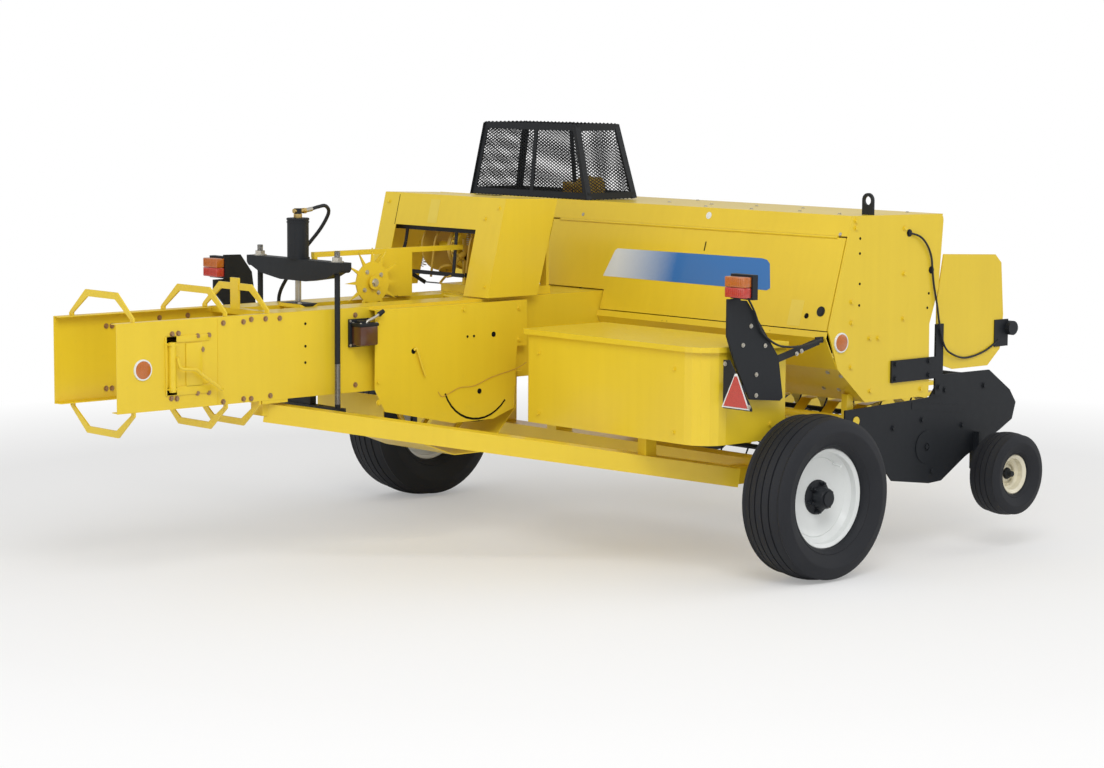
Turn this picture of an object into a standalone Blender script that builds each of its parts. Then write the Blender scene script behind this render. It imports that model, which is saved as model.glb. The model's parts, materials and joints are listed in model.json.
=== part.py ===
"""A square baler as it is parked: one Blender object for each sub-part, at real size.

Lengths are in metres. The machine's own frame has +X forwards with 0 on the right wheel's
axle, +Y to the left with 0 on the bale chamber's centre line, and +Z up from the ground.
Everything hangs under one empty that puts the world's origin under the middle of the whole.
"""
import math

import bmesh
import bpy
from mathutils import Matrix, Vector

# Clearances
SEAT = 0.0003               # between two pieces that touch
RUN = 0.006                 # between a moving piece and its neighbour

# Bale chamber
CHAMBER_HALF = 0.2235       # inside, each way from the centre line
CHAMBER_LOW = 0.729
CHAMBER_HIGH = 1.086
WALL = 0.005
CHAMBER_REAR = -2.392
CHAMBER_FRONT = 1.26
FEED_REAR = 0.30            # the side inlet through which the crop is pushed
FEED_FRONT = 0.84
RAIL_PIVOT_X = -0.45
RAIL_REAR = -1.620
RAIL_HEIGHT = 0.024
RAIL_GAP_HALF = 0.075       # free strip along the middle, for the metering wheel
HOOP_BAR = 0.028
HOOP_THICK = 0.008
HOOP_RISE = 0.112

# Bale density gear
DENSITY_X = -1.33
BEAM_HALF_SPAN = 0.325
BEAM_LOW = 1.195
BEAM_HIGH = 1.285
BEAM_DEPTH = 0.060
TIE_RADIUS = 0.012
TIE_Y = 0.268
TIE_END = 0.045             # thread above the crossbeam
STIRRUP_DEPTH = 0.040
STIRRUP_LOW = 0.615
STIRRUP_HEIGHT = 0.060
STIRRUP_END = 0.030         # beyond each tie rod
PUSH_BLOCK_HALF = 0.100     # rises between the walls to the bottom rail
PUSH_RIDGE_HALF = 0.003     # narrow, so that the rail can tilt on it
PUSH_RIDGE_HEIGHT = 0.004
CYLINDER_RADIUS = 0.046
CYLINDER_HIGH = 1.457
RAM_RADIUS = 0.013
PAD_HEIGHT = 0.012

# Bale length gear
STAR_X = -0.93
STAR_Z = 1.165
STAR_RADIUS = 0.150
STAR_ROOT = 0.090
STAR_TEETH = 12
STAR_THICK = 0.008
TRIP_BAR = 0.022
TRIP_REAR = -1.21
TRIP_FRONT = -0.375         # reaches through the hood's window
TRIP_PLATE_FRONT = -0.670   # stays clear of the hood as it opens
TRIP_Z = 1.293

# Knotter hood
HOOD_RIGHT = -0.274
HOOD_LEFT = 0.560
HOOD_SHEET = 0.004
HINGE_RADIUS = 0.010
HOOD_LOW = 1.0915
HOOD_HIGH = 1.522
HOOD_REAR_LOW = -0.509
HOOD_REAR_HIGH = -0.402
HOOD_FRONT_LOW = -0.217
HOOD_FRONT_HIGH = -0.099
WINDOW_RIGHT = -0.112        # the window is open to the hood's lower edge
WINDOW_LEFT = 0.445
WINDOW_HIGH = 1.380
KNOTTER_X = -0.285
KNOTTER_Z = 1.285

# Feeder housing across the machine
END_PLATE_Y = -1.620
END_PLATE_THICK = 0.006
SHEET = 0.004
ROOF_Z = 1.482
ROOF_REAR = 0.340
ROOF_FRONT = 0.932
DOOR_LOW = 1.005
DOOR_HIGH = 1.390
DOOR_THICK = 0.012
DOOR_LEFT = 0.200
SLOPE_LOW_X = 0.200
PAN_Z = 0.690
PAN_LIP = 0.610
HOUSING_LEFT = 0.850
AUGER_RADIUS = 0.110
AUGER_X = 0.600
AUGER_Z = 0.915

# Twine box
BOX_REAR = -0.500
BOX_FRONT = -0.030
BOX_RIGHT = -1.600
BOX_LEFT = -0.520
BOX_LOW = 0.575
BOX_HIGH = 0.955
BOX_CORNER = 0.120
LID_THICK = 0.022
LID_OVERHANG = 0.016

# Lamps
LAMP_WIDTH = 0.122
LAMP_DEPTH = 0.045
LAMP_HEIGHT = 0.084
REFLECTOR_X = -0.434

# Wheels
RIGHT_WHEEL = dict(side="right", x=0.0, y=-1.750, radius=0.343, width=0.240, rim=0.2085)
LEFT_WHEEL = dict(side="left", x=0.230, y=1.070, radius=0.375, width=0.280, rim=0.1980)
GAUGE_X = 1.190
GAUGE_Y = -1.795
GAUGE_Z = 0.333
GAUGE_RADIUS = 0.1825
GAUGE_WIDTH = 0.150
GAUGE_RIM = 0.0875
WHEEL_SEGMENTS = 40

# Axle and frame
AXLE_SIDE = 0.100
AXLE_Z = 0.420
SPINDLE_RADIUS = 0.030
BRACE_SIDE = 0.078

# Pickup
PICKUP_PIVOT_X = 0.400
PICKUP_PIVOT_Z = 0.610
PICKUP_RIGHT = -1.612
PICKUP_LEFT = -0.270
PLATE = 0.008
REEL_X = 0.860
REEL_Z = 0.460
REEL_TUBE = 0.045
TINE_TIP = 0.308
TINE_RADIUS = 0.004

# Drive and hitch
DRIVE_Z = 0.880
GEARBOX_REAR = 1.300
GEARBOX_FRONT = 1.600
FLYWHEEL_X = 1.760
FLYWHEEL_RADIUS = 0.310
FLYWHEEL_WIDTH = 0.075
GUARD_RADIUS = 0.360
HITCH_PIVOT_X = 1.150
HITCH_Z = 0.430
TONGUE_SIDE = 0.120
TONGUE_FRONT = 2.720
JACK_X = 1.980
JACK_Y = 0.140
JACK_LOW = 0.260
JACK_HIGH = 0.700
JACK_TUBE = 0.027           # the leg that slides in the housing
JACK_FIT = 0.0008
JACK_FOOT = 0.100

# World origin: under the middle of the machine's own box
HITCH_FRONT = TONGUE_FRONT + 0.110
RIGHT_EXTREME = RIGHT_WHEEL["y"] - RIGHT_WHEEL["width"] / 2
LEFT_EXTREME = LEFT_WHEEL["y"] + LEFT_WHEEL["width"] / 2
MIDDLE = Vector(((CHAMBER_REAR + HITCH_FRONT) / 2, (RIGHT_EXTREME + LEFT_EXTREME) / 2, 0))

# Finishes: colour, roughness, metallic
FINISHES = {
    "yellow_paint": ((0.83, 0.60, 0.025), 0.38, 0.0),
    "black_paint": ((0.018, 0.021, 0.026), 0.42, 0.0),
    "white_rim": ((0.80, 0.83, 0.82), 0.35, 0.0),
    "cream_rim": ((0.83, 0.78, 0.60), 0.35, 0.0),
    "tyre_rubber": ((0.022, 0.025, 0.032), 0.75, 0.0),
    "steel": ((0.45, 0.43, 0.40), 0.40, 1.0),
    "amber_lens": ((0.60, 0.17, 0.012), 0.20, 0.0),
    "dark_plastic": ((0.05, 0.035, 0.035), 0.30, 0.0),
}


# ---------------------------------------------------------------- tools of the trade

def clear_scene():
    for old in list(bpy.data.objects):
        bpy.data.objects.remove(old, do_unlink=True)


def finish_material(finish):
    material = bpy.data.materials.get(finish)
    if material is None:
        colour, roughness, metallic = FINISHES[finish]
        material = bpy.data.materials.new(finish)
        material.use_nodes = True
        shader = material.node_tree.nodes["Principled BSDF"]
        shader.inputs["Base Color"].default_value = (*colour, 1)
        shader.inputs["Roughness"].default_value = roughness
        shader.inputs["Metallic"].default_value = metallic
    return material


def keep(obj, name, finish):
    """Name an object, give it its finish and put it in the machine's collection."""
    obj.name = name
    obj.data.name = name
    obj.data.materials.clear()
    obj.data.materials.append(finish_material(finish))
    for home in list(obj.users_collection):
        home.objects.unlink(obj)
    PARTS.objects.link(obj)
    return obj


def mesh_object(name, bm, matrix=None):
    mesh = bpy.data.meshes.new(name)
    bm.to_mesh(mesh)
    bm.free()
    obj = bpy.data.objects.new(name, mesh)
    bpy.context.scene.collection.objects.link(obj)
    if matrix is not None:
        obj.matrix_world = matrix
    return obj


def box(low, high, turn=None):
    """A box between two corners; turn rotates it about its own middle."""
    low, high = Vector(low), Vector(high)
    bm = bmesh.new()
    bmesh.ops.create_cube(bm, size=1.0, matrix=Matrix.Diagonal((*(high - low), 1)))
    place = Matrix.Translation((low + high) / 2)
    return mesh_object("box", bm, place @ turn if turn is not None else place)


AXIS_TURN = {
    "X": Matrix.Rotation(math.pi / 2, 4, "Y"),
    "Y": Matrix.Rotation(-math.pi / 2, 4, "X"),
    "Z": Matrix.Identity(4),
}


def rod(start, end, radius, segments=16, radius_end=None):
    """A cylinder or cone from one point to another."""
    start, end = Vector(start), Vector(end)
    along = end - start
    turn = Vector((0, 0, 1)).rotation_difference(along).to_matrix().to_4x4()
    bm = bmesh.new()
    bmesh.ops.create_cone(bm, cap_ends=True, segments=segments, radius1=radius,
                          radius2=radius if radius_end is None else radius_end, depth=along.length)
    return mesh_object("rod", bm, Matrix.Translation((start + end) / 2) @ turn)


def bar(start, end, width, height, roll=0.0):
    """A square bar from one point to another, its height as near upright as it goes."""
    start, end = Vector(start), Vector(end)
    along = end - start
    forward = along.normalized()
    side = Vector((0, 0, 1)).cross(forward)
    side = side.normalized() if side.length > 1e-6 else Vector((0, 1, 0))
    up = forward.cross(side)
    turn = Matrix((forward, side, up)).transposed().to_4x4() @ Matrix.Rotation(roll, 4, "X")
    bm = bmesh.new()
    size = Matrix.Diagonal((along.length, width, height, 1))
    bmesh.ops.create_cube(bm, size=1.0, matrix=size)
    return mesh_object("bar", bm, Matrix.Translation((start + end) / 2) @ turn)


def weld(mesh, distance=0.00001):
    bm = bmesh.new()
    bm.from_mesh(mesh)
    bmesh.ops.remove_doubles(bm, verts=bm.verts, dist=distance)
    bmesh.ops.recalc_face_normals(bm, faces=bm.faces)
    bm.to_mesh(mesh)
    bm.free()


def made_mesh(obj):
    """The evaluated object as a plain, welded mesh object; the old one goes."""
    bpy.context.view_layer.update()
    graph = bpy.context.evaluated_depsgraph_get()
    mesh = bpy.data.meshes.new_from_object(obj.evaluated_get(graph))
    weld(mesh)
    new = bpy.data.objects.new("made", mesh)
    bpy.context.scene.collection.objects.link(new)
    new.matrix_world = obj.matrix_world.copy()
    bpy.data.objects.remove(obj, do_unlink=True)
    return new


PLANES = {
    # the outline's two directions and the way it is extruded
    "XZ": Matrix(((1, 0, 0), (0, 0, -1), (0, 1, 0))).to_4x4(),
    "YZ": Matrix(((0, 0, 1), (1, 0, 0), (0, 1, 0))).to_4x4(),
    "XY": Matrix.Identity(4),
}


def plate(points, plane, low, high):
    """A flat outline between two positions along the normal of its plane."""
    curve = bpy.data.curves.new("plate", "CURVE")
    curve.dimensions = "2D"
    curve.fill_mode = "BOTH"
    curve.extrude = (high - low) / 2
    spline = curve.splines.new("POLY")
    spline.points.add(len(points) - 1)
    for point, (u, v) in zip(spline.points, points):
        point.co = (u, v, 0, 1)
    spline.use_cyclic_u = True
    obj = bpy.data.objects.new("plate", curve)
    bpy.context.scene.collection.objects.link(obj)
    turn = PLANES[plane]
    normal = turn.to_3x3() @ Vector((0, 0, 1))
    middle = Vector([abs(n) * (low + high) / 2 for n in normal])
    obj.matrix_world = Matrix.Translation(middle) @ turn
    return made_mesh(obj)


def tube(points, radius, sides=2):
    """A round bar through points."""
    curve = bpy.data.curves.new("tube", "CURVE")
    curve.dimensions = "3D"
    curve.bevel_depth = radius
    curve.bevel_resolution = sides
    curve.use_fill_caps = True
    spline = curve.splines.new("POLY")
    spline.points.add(len(points) - 1)
    for point, place in zip(spline.points, points):
        point.co = (*place, 1)
    obj = bpy.data.objects.new("tube", curve)
    bpy.context.scene.collection.objects.link(obj)
    return made_mesh(obj)


def turned(profile, centre, axis="Y", segments=WHEEL_SEGMENTS):
    """A closed profile of (radius, along) pairs turned about an axis through the centre."""
    bm = bmesh.new()
    ring = [bm.verts.new((radius, 0, along)) for radius, along in profile]
    for one, two in zip(ring, ring[1:] + ring[:1]):
        if one.co.x > 0 or two.co.x > 0:
            bm.edges.new((one, two))
    obj = mesh_object("turned", bm, Matrix.Translation(centre) @ AXIS_TURN[axis])
    screw = obj.modifiers.new("turn", "SCREW")
    screw.steps = screw.render_steps = segments
    screw.use_merge_vertices = True
    screw.merge_threshold = 0.00005
    obj = made_mesh(obj)
    return obj


def corners(points, radii, steps=4):
    """An outline with each corner rounded by its own radius."""
    outline = []
    count = len(points)
    for index, (here, radius) in enumerate(zip(points, radii)):
        if radius == 0:
            outline.append(here)
            continue
        at = Vector(here)
        back = (Vector(points[index - 1]) - at).normalized()
        ahead = (Vector(points[(index + 1) % count]) - at).normalized()
        half = back.angle(ahead) / 2
        reach = radius / math.tan(half)
        centre = at + (back + ahead).normalized() * radius / math.sin(half)
        first, last = at + back * reach - centre, at + ahead * reach - centre
        sweep = first.angle_signed(last)
        for step in range(steps + 1):
            arm = first.copy()
            arm.rotate(Matrix.Rotation(-sweep * step / steps, 2))
            outline.append(tuple(centre + arm))
    return outline


def boolean(target, tool, operation):
    cutter = target.modifiers.new(operation.lower(), "BOOLEAN")
    cutter.operation = operation
    cutter.solver = "EXACT"
    cutter.object = tool
    result = made_mesh(target)
    bpy.data.objects.remove(tool, do_unlink=True)
    return result


def joined(*pieces):
    result = pieces[0]
    for piece in pieces[1:]:
        result = boolean(result, piece, "UNION")
    return result


def cut(target, *cutters):
    for cutter in cutters:
        target = boolean(target, cutter, "DIFFERENCE")
    return target


def folded_sheet(points, low, high, thick, plane="XZ"):
    """A folded sheet: an open run of points extruded sideways, then given its wall inwards."""
    bm = bmesh.new()
    rows = [[bm.verts.new((u, v, along)) for u, v in points] for along in (low, high)]
    for first in range(len(points) - 1):
        bm.faces.new((rows[0][first], rows[0][first + 1], rows[1][first + 1], rows[1][first]))
    turn = PLANES[plane]
    if plane == "XZ":
        turn = turn @ Matrix.Diagonal((1, 1, -1, 1))
        bmesh.ops.transform(bm, matrix=turn, verts=bm.verts)
        obj = mesh_object("sheet", bm)
    else:
        obj = mesh_object("sheet", bm, turn)
    solid = obj.modifiers.new("wall", "SOLIDIFY")
    solid.thickness = thick
    solid.offset = -1
    solid.use_even_offset = True
    return made_mesh(obj)


def hinge(name, place):
    """An empty on a joint's axis, for the pieces that turn or slide with it."""
    empty = bpy.data.objects.new(name, None)
    empty.empty_display_size = 0.1
    PARTS.objects.link(empty)
    empty.location = place
    return empty


def carry(empty, *pieces):
    bpy.context.view_layer.update()
    for piece in pieces:
        place = piece.matrix_world.copy()
        piece.parent = empty
        piece.matrix_parent_inverse = Matrix.Identity(4)
        piece.matrix_basis = Matrix.Translation(-empty.location) @ place


# ---------------------------------------------------------------- bale chamber

def chamber_walls():
    outline = [(CHAMBER_REAR, CHAMBER_LOW), (CHAMBER_FRONT, CHAMBER_LOW),
               (CHAMBER_FRONT, CHAMBER_HIGH), (CHAMBER_REAR, CHAMBER_HIGH)]
    for side, name in ((-1, "right_chamber_wall"), (1, "left_chamber_wall")):
        low, high = sorted((side * CHAMBER_HALF, side * (CHAMBER_HALF + WALL)))
        wall = plate(outline, "XZ", low, high)
        if side < 0:
            inlet = box((FEED_REAR, low - 0.1, CHAMBER_LOW + 0.030),
                        (FEED_FRONT, high + 0.1, CHAMBER_HIGH - 0.030))
            wall = cut(wall, inlet)
        else:
            wall = joined(wall, *hoops())
        keep(wall, name, "yellow_paint")


def chamber_floor_and_cover():
    half = CHAMBER_HALF - SEAT
    floor = box((RAIL_PIVOT_X + 0.032, -half, CHAMBER_LOW), (CHAMBER_FRONT, half, CHAMBER_LOW + 0.008))
    pivot = rod((RAIL_PIVOT_X, -half, CHAMBER_LOW + RAIL_HEIGHT / 2),
                (RAIL_PIVOT_X, half, CHAMBER_LOW + RAIL_HEIGHT / 2), 0.008, 12)
    web = box((RAIL_PIVOT_X - 0.004, -0.060, CHAMBER_LOW),
              (RAIL_PIVOT_X + 0.040, 0.060, CHAMBER_LOW + 0.008))
    keep(joined(floor, web, pivot), "chamber_floor", "yellow_paint")
    cover = box((RAIL_PIVOT_X + 0.032, -half, CHAMBER_HIGH - 0.008), (CHAMBER_FRONT, half, CHAMBER_HIGH))
    pivot = rod((RAIL_PIVOT_X, -half, CHAMBER_HIGH - RAIL_HEIGHT / 2),
                (RAIL_PIVOT_X, half, CHAMBER_HIGH - RAIL_HEIGHT / 2), 0.008, 12)
    web = box((RAIL_PIVOT_X - 0.004, -0.060, CHAMBER_HIGH - 0.008),
              (RAIL_PIVOT_X + 0.040, 0.060, CHAMBER_HIGH))
    bulkhead = box((CHAMBER_FRONT - 0.010, -half, CHAMBER_LOW + 0.008 + SEAT),
                   (CHAMBER_FRONT, half, CHAMBER_HIGH))
    keep(joined(cover, web, pivot, bulkhead), "chamber_cover", "yellow_paint")


def rails():
    """Top and bottom tension rails: two long bars and three ties, open along the middle."""
    outer = CHAMBER_HALF - RUN
    for name, low, finish in (("top_rail", CHAMBER_HIGH - RAIL_HEIGHT, "yellow_paint"),
                              ("bottom_rail", CHAMBER_LOW, "yellow_paint")):
        high = low + RAIL_HEIGHT
        pieces = []
        front = RAIL_PIVOT_X - 0.016
        for side in (-1, 1):
            one, two = sorted((side * RAIL_GAP_HALF, side * outer))
            pieces.append(box((RAIL_REAR, one, low), (front, two, high)))
        for tie in (RAIL_REAR + 0.020, DENSITY_X):
            pieces.append(box((tie - 0.020, -outer, low), (tie + 0.020, outer, high)))
        if name == "top_rail":
            pieces.append(box((DENSITY_X - 0.045, -0.075, high - 0.004),
                              (DENSITY_X + 0.045, 0.075, high + PAD_HEIGHT)))
        for side in (-1, 1):
            one, two = sorted((side * (RAIL_GAP_HALF + 0.020), side * (outer - 0.030)))
            eye = box((front - 0.010, one, low), (RAIL_PIVOT_X + 0.014, two, high))
            bore = rod((RAIL_PIVOT_X, one - 0.01, (low + high) / 2),
                       (RAIL_PIVOT_X, two + 0.01, (low + high) / 2), 0.0083, 12)
            pieces.append(cut(eye, bore))
        rail = keep(joined(*pieces), name, finish)
        carry(hinge(name + "_axis", (RAIL_PIVOT_X, 0, (low + high) / 2)), rail)


def hoop_outline(centre, sign, width, rise):
    """Half an octagonal hoop of flat bar: outer line out, inner line back."""
    foot, shoulder = width / 2, width * 0.17
    outer = [(-foot, 0), (-foot, rise * 0.14), (-shoulder * 1.45, rise), (shoulder * 1.45, rise),
             (foot, rise * 0.14), (foot, 0)]
    bar_width = HOOP_BAR
    inner = [(foot - bar_width * 0.8, 0), (foot - bar_width * 0.8, rise * 0.10),
             (shoulder * 1.28, rise - bar_width), (-shoulder * 1.28, rise - bar_width),
             (-foot + bar_width * 0.8, rise * 0.10), (-foot + bar_width * 0.8, 0)]
    return [(y, centre + sign * z) for y, z in outer + inner]


def hoops():
    """The hoops of flat bar across the chamber, welded to its left wall and bolted to its right."""
    width = 2 * (CHAMBER_HALF + WALL)
    table = (
        # x, edge of the chamber, direction, with a post in the middle
        (-2.310, CHAMBER_HIGH, 1, False),
        (-1.865, CHAMBER_HIGH, 1, False),
        (-1.655, CHAMBER_HIGH, 1, True),
        (-2.310, CHAMBER_LOW, -1, False),
        (-1.865, CHAMBER_LOW, -1, False),
        (-1.700, CHAMBER_LOW, -1, False),
    )
    made = []
    for x, edge, sign, with_post in table:
        rear, front = x - HOOP_THICK / 2, x + HOOP_THICK / 2
        hoop = plate(hoop_outline(edge + sign * SEAT, sign, width, HOOP_RISE), "YZ", rear, front)
        foot = sorted((edge - sign * 0.004, edge + sign * 0.012))
        hoop = joined(hoop,
                      box((rear - 0.002, CHAMBER_HALF + 0.001, foot[0]),
                          (front + 0.002, CHAMBER_HALF + WALL + 0.002, foot[1])))
        if with_post:
            top = edge + HOOP_RISE + 0.022
            hoop = joined(hoop, box((rear - 0.003, -0.028, edge + RUN), (front - 0.001, 0.028, top)))
        made.append(hoop)
    return made


def density_gear():
    """Crossbeam with a ram above the chamber, and a stirrup that pulls the lower rail up."""
    depth = BEAM_DEPTH / 2
    tip = BEAM_HIGH - 0.030
    outline = [(-BEAM_HALF_SPAN, tip), (-0.230, BEAM_LOW + 0.020), (-0.090, BEAM_LOW), (0.090, BEAM_LOW),
               (0.230, BEAM_LOW + 0.020), (BEAM_HALF_SPAN, tip), (BEAM_HALF_SPAN, BEAM_HIGH),
               (-BEAM_HALF_SPAN, BEAM_HIGH)]
    beam = plate(outline, "YZ", DENSITY_X - depth, DENSITY_X + depth)
    for side in (-1, 1):
        beam = cut(beam, rod((DENSITY_X, side * TIE_Y, BEAM_LOW - 0.05),
                             (DENSITY_X, side * TIE_Y, BEAM_HIGH + 0.05),
                             TIE_RADIUS + SEAT, 12))
    ram_hole = RAM_RADIUS + 0.001
    beam = cut(beam, rod((DENSITY_X, 0, BEAM_LOW - 0.05), (DENSITY_X, 0, BEAM_HIGH + 0.05), ram_hole, 16))
    keep(beam, "density_crossbeam", "black_paint")

    rear, front = DENSITY_X - STIRRUP_DEPTH / 2, DENSITY_X + STIRRUP_DEPTH / 2
    end = TIE_Y + STIRRUP_END
    stirrup = box((rear, -end, STIRRUP_LOW), (front, end, STIRRUP_LOW + STIRRUP_HEIGHT))
    block = box((rear + 0.004, -PUSH_BLOCK_HALF, STIRRUP_LOW + 0.010),
                (front - 0.004, PUSH_BLOCK_HALF, CHAMBER_LOW - PUSH_RIDGE_HEIGHT))
    ridge = box((DENSITY_X - PUSH_RIDGE_HALF, -PUSH_BLOCK_HALF + 0.002, STIRRUP_LOW + 0.020),
                (DENSITY_X + PUSH_RIDGE_HALF, PUSH_BLOCK_HALF - 0.002, CHAMBER_LOW - SEAT))
    stirrup = joined(stirrup, block, ridge)
    for side in (-1, 1):
        tie = rod((DENSITY_X, side * TIE_Y, STIRRUP_LOW + 0.010),
                  (DENSITY_X, side * TIE_Y, BEAM_HIGH + TIE_END), TIE_RADIUS, 12)
        stirrup = joined(stirrup, tie)
    keep(stirrup, "density_stirrup", "black_paint")

    bore = ram_hole
    barrel = turned([(bore, 0), (CYLINDER_RADIUS, 0), (CYLINDER_RADIUS, CYLINDER_HIGH - BEAM_HIGH - SEAT),
                     (bore, CYLINDER_HIGH - BEAM_HIGH - SEAT)],
                    (DENSITY_X, 0, BEAM_HIGH + SEAT), "Z", 24)
    cap = rod((DENSITY_X, 0, CYLINDER_HIGH - 0.020), (DENSITY_X, 0, CYLINDER_HIGH), CYLINDER_RADIUS, 24)
    port = rod((DENSITY_X, 0, CYLINDER_HIGH - 0.004), (DENSITY_X, 0, CYLINDER_HIGH + 0.040), 0.016, 8)
    keep(joined(barrel, cap, port), "density_cylinder", "black_paint")

    foot = CHAMBER_HIGH + PAD_HEIGHT + SEAT
    ram = turned([(0, foot - BEAM_HIGH), (0.006, foot - BEAM_HIGH + 0.0008),
                  (RAM_RADIUS, foot - BEAM_HIGH + 0.006),
                  (RAM_RADIUS, CYLINDER_HIGH - BEAM_HIGH - 0.110), (0, CYLINDER_HIGH - BEAM_HIGH - 0.110)],
                 (DENSITY_X, 0, BEAM_HIGH), "Z", 16)
    keep(ram, "density_ram", "steel")
    yoke = hinge("density_yoke_axis", (DENSITY_X, 0, BEAM_HIGH))
    carry(yoke, *(bpy.data.objects[name] for name in ("density_crossbeam", "density_stirrup",
                                                      "density_cylinder")))
    carry(hinge("density_ram_axis", (DENSITY_X, 0, BEAM_HIGH)), ram)


def metering_gear():
    """Star wheel that rolls on the bale, on a bracket with the trip bar."""
    points = []
    for tooth in range(STAR_TEETH):
        for share, radius in ((0.0, STAR_RADIUS), (0.16, STAR_ROOT), (0.84, STAR_ROOT)):
            angle = math.tau * (tooth + share) / STAR_TEETH
            points.append((radius * math.sin(angle) + STAR_X, radius * math.cos(angle) + STAR_Z))
    star = plate(points, "XZ", -STAR_THICK / 2, STAR_THICK / 2)
    hub = rod((STAR_X, -0.020, STAR_Z), (STAR_X, 0.045, STAR_Z), 0.022, 16)
    star = keep(joined(star, hub), "star_wheel", "yellow_paint")
    carry(hinge("star_wheel_axis", (STAR_X, 0, STAR_Z)), star)

    inner = 0.045 + SEAT
    low = CHAMBER_HIGH + 0.004 + RUN
    high = TRIP_Z + TRIP_BAR / 2
    outline = [(STAR_X - 0.035, STAR_Z + 0.030), (STAR_X - 0.035, STAR_Z - 0.030),
               (TRIP_PLATE_FRONT - 0.100, low),
               (TRIP_PLATE_FRONT, low), (TRIP_PLATE_FRONT, high - 0.002), (STAR_X + 0.120, high - 0.002)]
    column = plate(outline, "XZ", inner, inner + 0.006)
    trip = box((TRIP_REAR, inner - 0.0001, TRIP_Z - TRIP_BAR / 2),
               (TRIP_FRONT, inner + TRIP_BAR, high))
    drop = box((TRIP_REAR + 0.001, inner, TRIP_Z - 0.070),
               (TRIP_REAR + 0.018, inner + TRIP_BAR - 0.001, TRIP_Z))
    rear, front = TRIP_PLATE_FRONT - 0.080, TRIP_PLATE_FRONT - 0.004
    foot = box((rear, inner - 0.0001, CHAMBER_HIGH + RUN),
               (front, CHAMBER_HALF + WALL, CHAMBER_HIGH + 0.012 + RUN))
    toe = box((rear + 0.004, CHAMBER_HALF, CHAMBER_HIGH + SEAT),
              (front - 0.004, CHAMBER_HALF + WALL - 0.001, CHAMBER_HIGH + 0.010 + RUN))
    keep(joined(column, trip, drop, foot, toe), "metering_bracket", "yellow_paint")


def side_shield():
    """Knotter drive shield beside the chamber, with its arc slot."""
    low = HOOD_RIGHT + 0.004
    outline = [(-1.133, 0.737), (-1.079, 0.639), (-0.700, 0.560), (-0.470, 0.560), (-0.348, 0.600),
               (-0.332, 0.872),
               (-0.273, 0.872), (-0.273, 1.074), (-1.130, 1.074)]
    face = plate(outline, "XZ", low, low + 0.003)
    lip = box((-1.130, low, 1.071), (-0.273, -CHAMBER_HALF - WALL - SEAT, 1.074))
    foot = box((-1.080, low, 0.760), (-0.300, -CHAMBER_HALF - WALL - SEAT, 0.763))
    slot = []
    for step in range(13):
        angle = math.radians(200 + (322 - 200) * step / 12)
        slot.append((-0.557 + 0.205 * math.cos(angle), 0.757 + 0.195 * math.sin(angle)))
    for step in range(12, -1, -1):
        angle = math.radians(200 + (322 - 200) * step / 12)
        slot.append((-0.557 + 0.195 * math.cos(angle), 0.757 + 0.185 * math.sin(angle)))
    groove = plate(slot, "XZ", low - 0.01, low + 0.012)
    keep(cut(joined(face, lip, foot), groove), "side_shield", "yellow_paint")


def oil_reservoir():
    right = -CHAMBER_HALF - WALL - SEAT
    body = box((-1.235, right - 0.075, 0.930), (-1.140, right - 0.012, 1.025))
    backing = box((-1.245, right - 0.013, 0.920), (-1.134 - SEAT, right, 1.040))
    lever = rod((-1.190, right - 0.058, 1.022), (-1.120, right - 0.064, 1.062), 0.005, 8)
    knob = rod((-1.128, right - 0.0634, 1.057), (-1.104, right - 0.0650, 1.071), 0.011, 10)
    keep(joined(body, backing, lever, knob), "oil_reservoir", "dark_plastic")


def needle_guard():
    """Pan below the chamber that keeps the needles off the ground."""
    half = CHAMBER_HALF + WALL
    outline = corners([(-1.050, 0.700), (-1.050, 0.560), (-0.660, 0.415), (-0.480, 0.415),
                       (-0.300, 0.600), (-0.300, 0.700)],
                      (0, 0.05, 0.08, 0.05, 0.05, 0), 3)
    pan = folded_sheet(outline, -half, half, 0.004)
    posts = []
    for x in (-1.046, -0.306):
        for side in (-1, 1):
            one, two = sorted((side * (half - 0.030), side * half))
            posts.append(box((x - 0.004, one, 0.690), (x + 0.006, two, CHAMBER_LOW - SEAT)))
    keep(joined(pan, *posts), "needle_guard", "yellow_paint")
    shaft = rod((-0.420, -0.245, 0.640), (-0.420, 0.245, 0.640), 0.018, 12)
    yoke = shaft
    for side in (-1, 1):
        inner = side * 0.110
        arc = []
        for step in range(9):
            angle = math.radians(190 + 100 * step / 8)
            arc.append((-0.660 + 0.230 * math.cos(angle) * 1.0, inner, 0.690 + 0.225 * math.sin(angle)))
        arc.append((-0.420, inner, 0.640))
        yoke = joined(yoke, tube(arc, 0.012, 1))
    hangers = []
    for side in (-1, 1):
        one, two = sorted((side * 0.205, side * 0.220))
        hangers.append(box((-0.440, one, 0.640), (-0.400, two, CHAMBER_LOW - SEAT)))
    keep(joined(yoke, *hangers), "needle_yoke", "yellow_paint")


# ---------------------------------------------------------------- knotters and hood

def hood_x(z, rear):
    share = (z - HOOD_LOW) / (HOOD_HIGH - HOOD_LOW)
    low, high = (HOOD_REAR_LOW, HOOD_REAR_HIGH) if rear else (HOOD_FRONT_LOW, HOOD_FRONT_HIGH)
    return low + (high - low) * share


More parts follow.
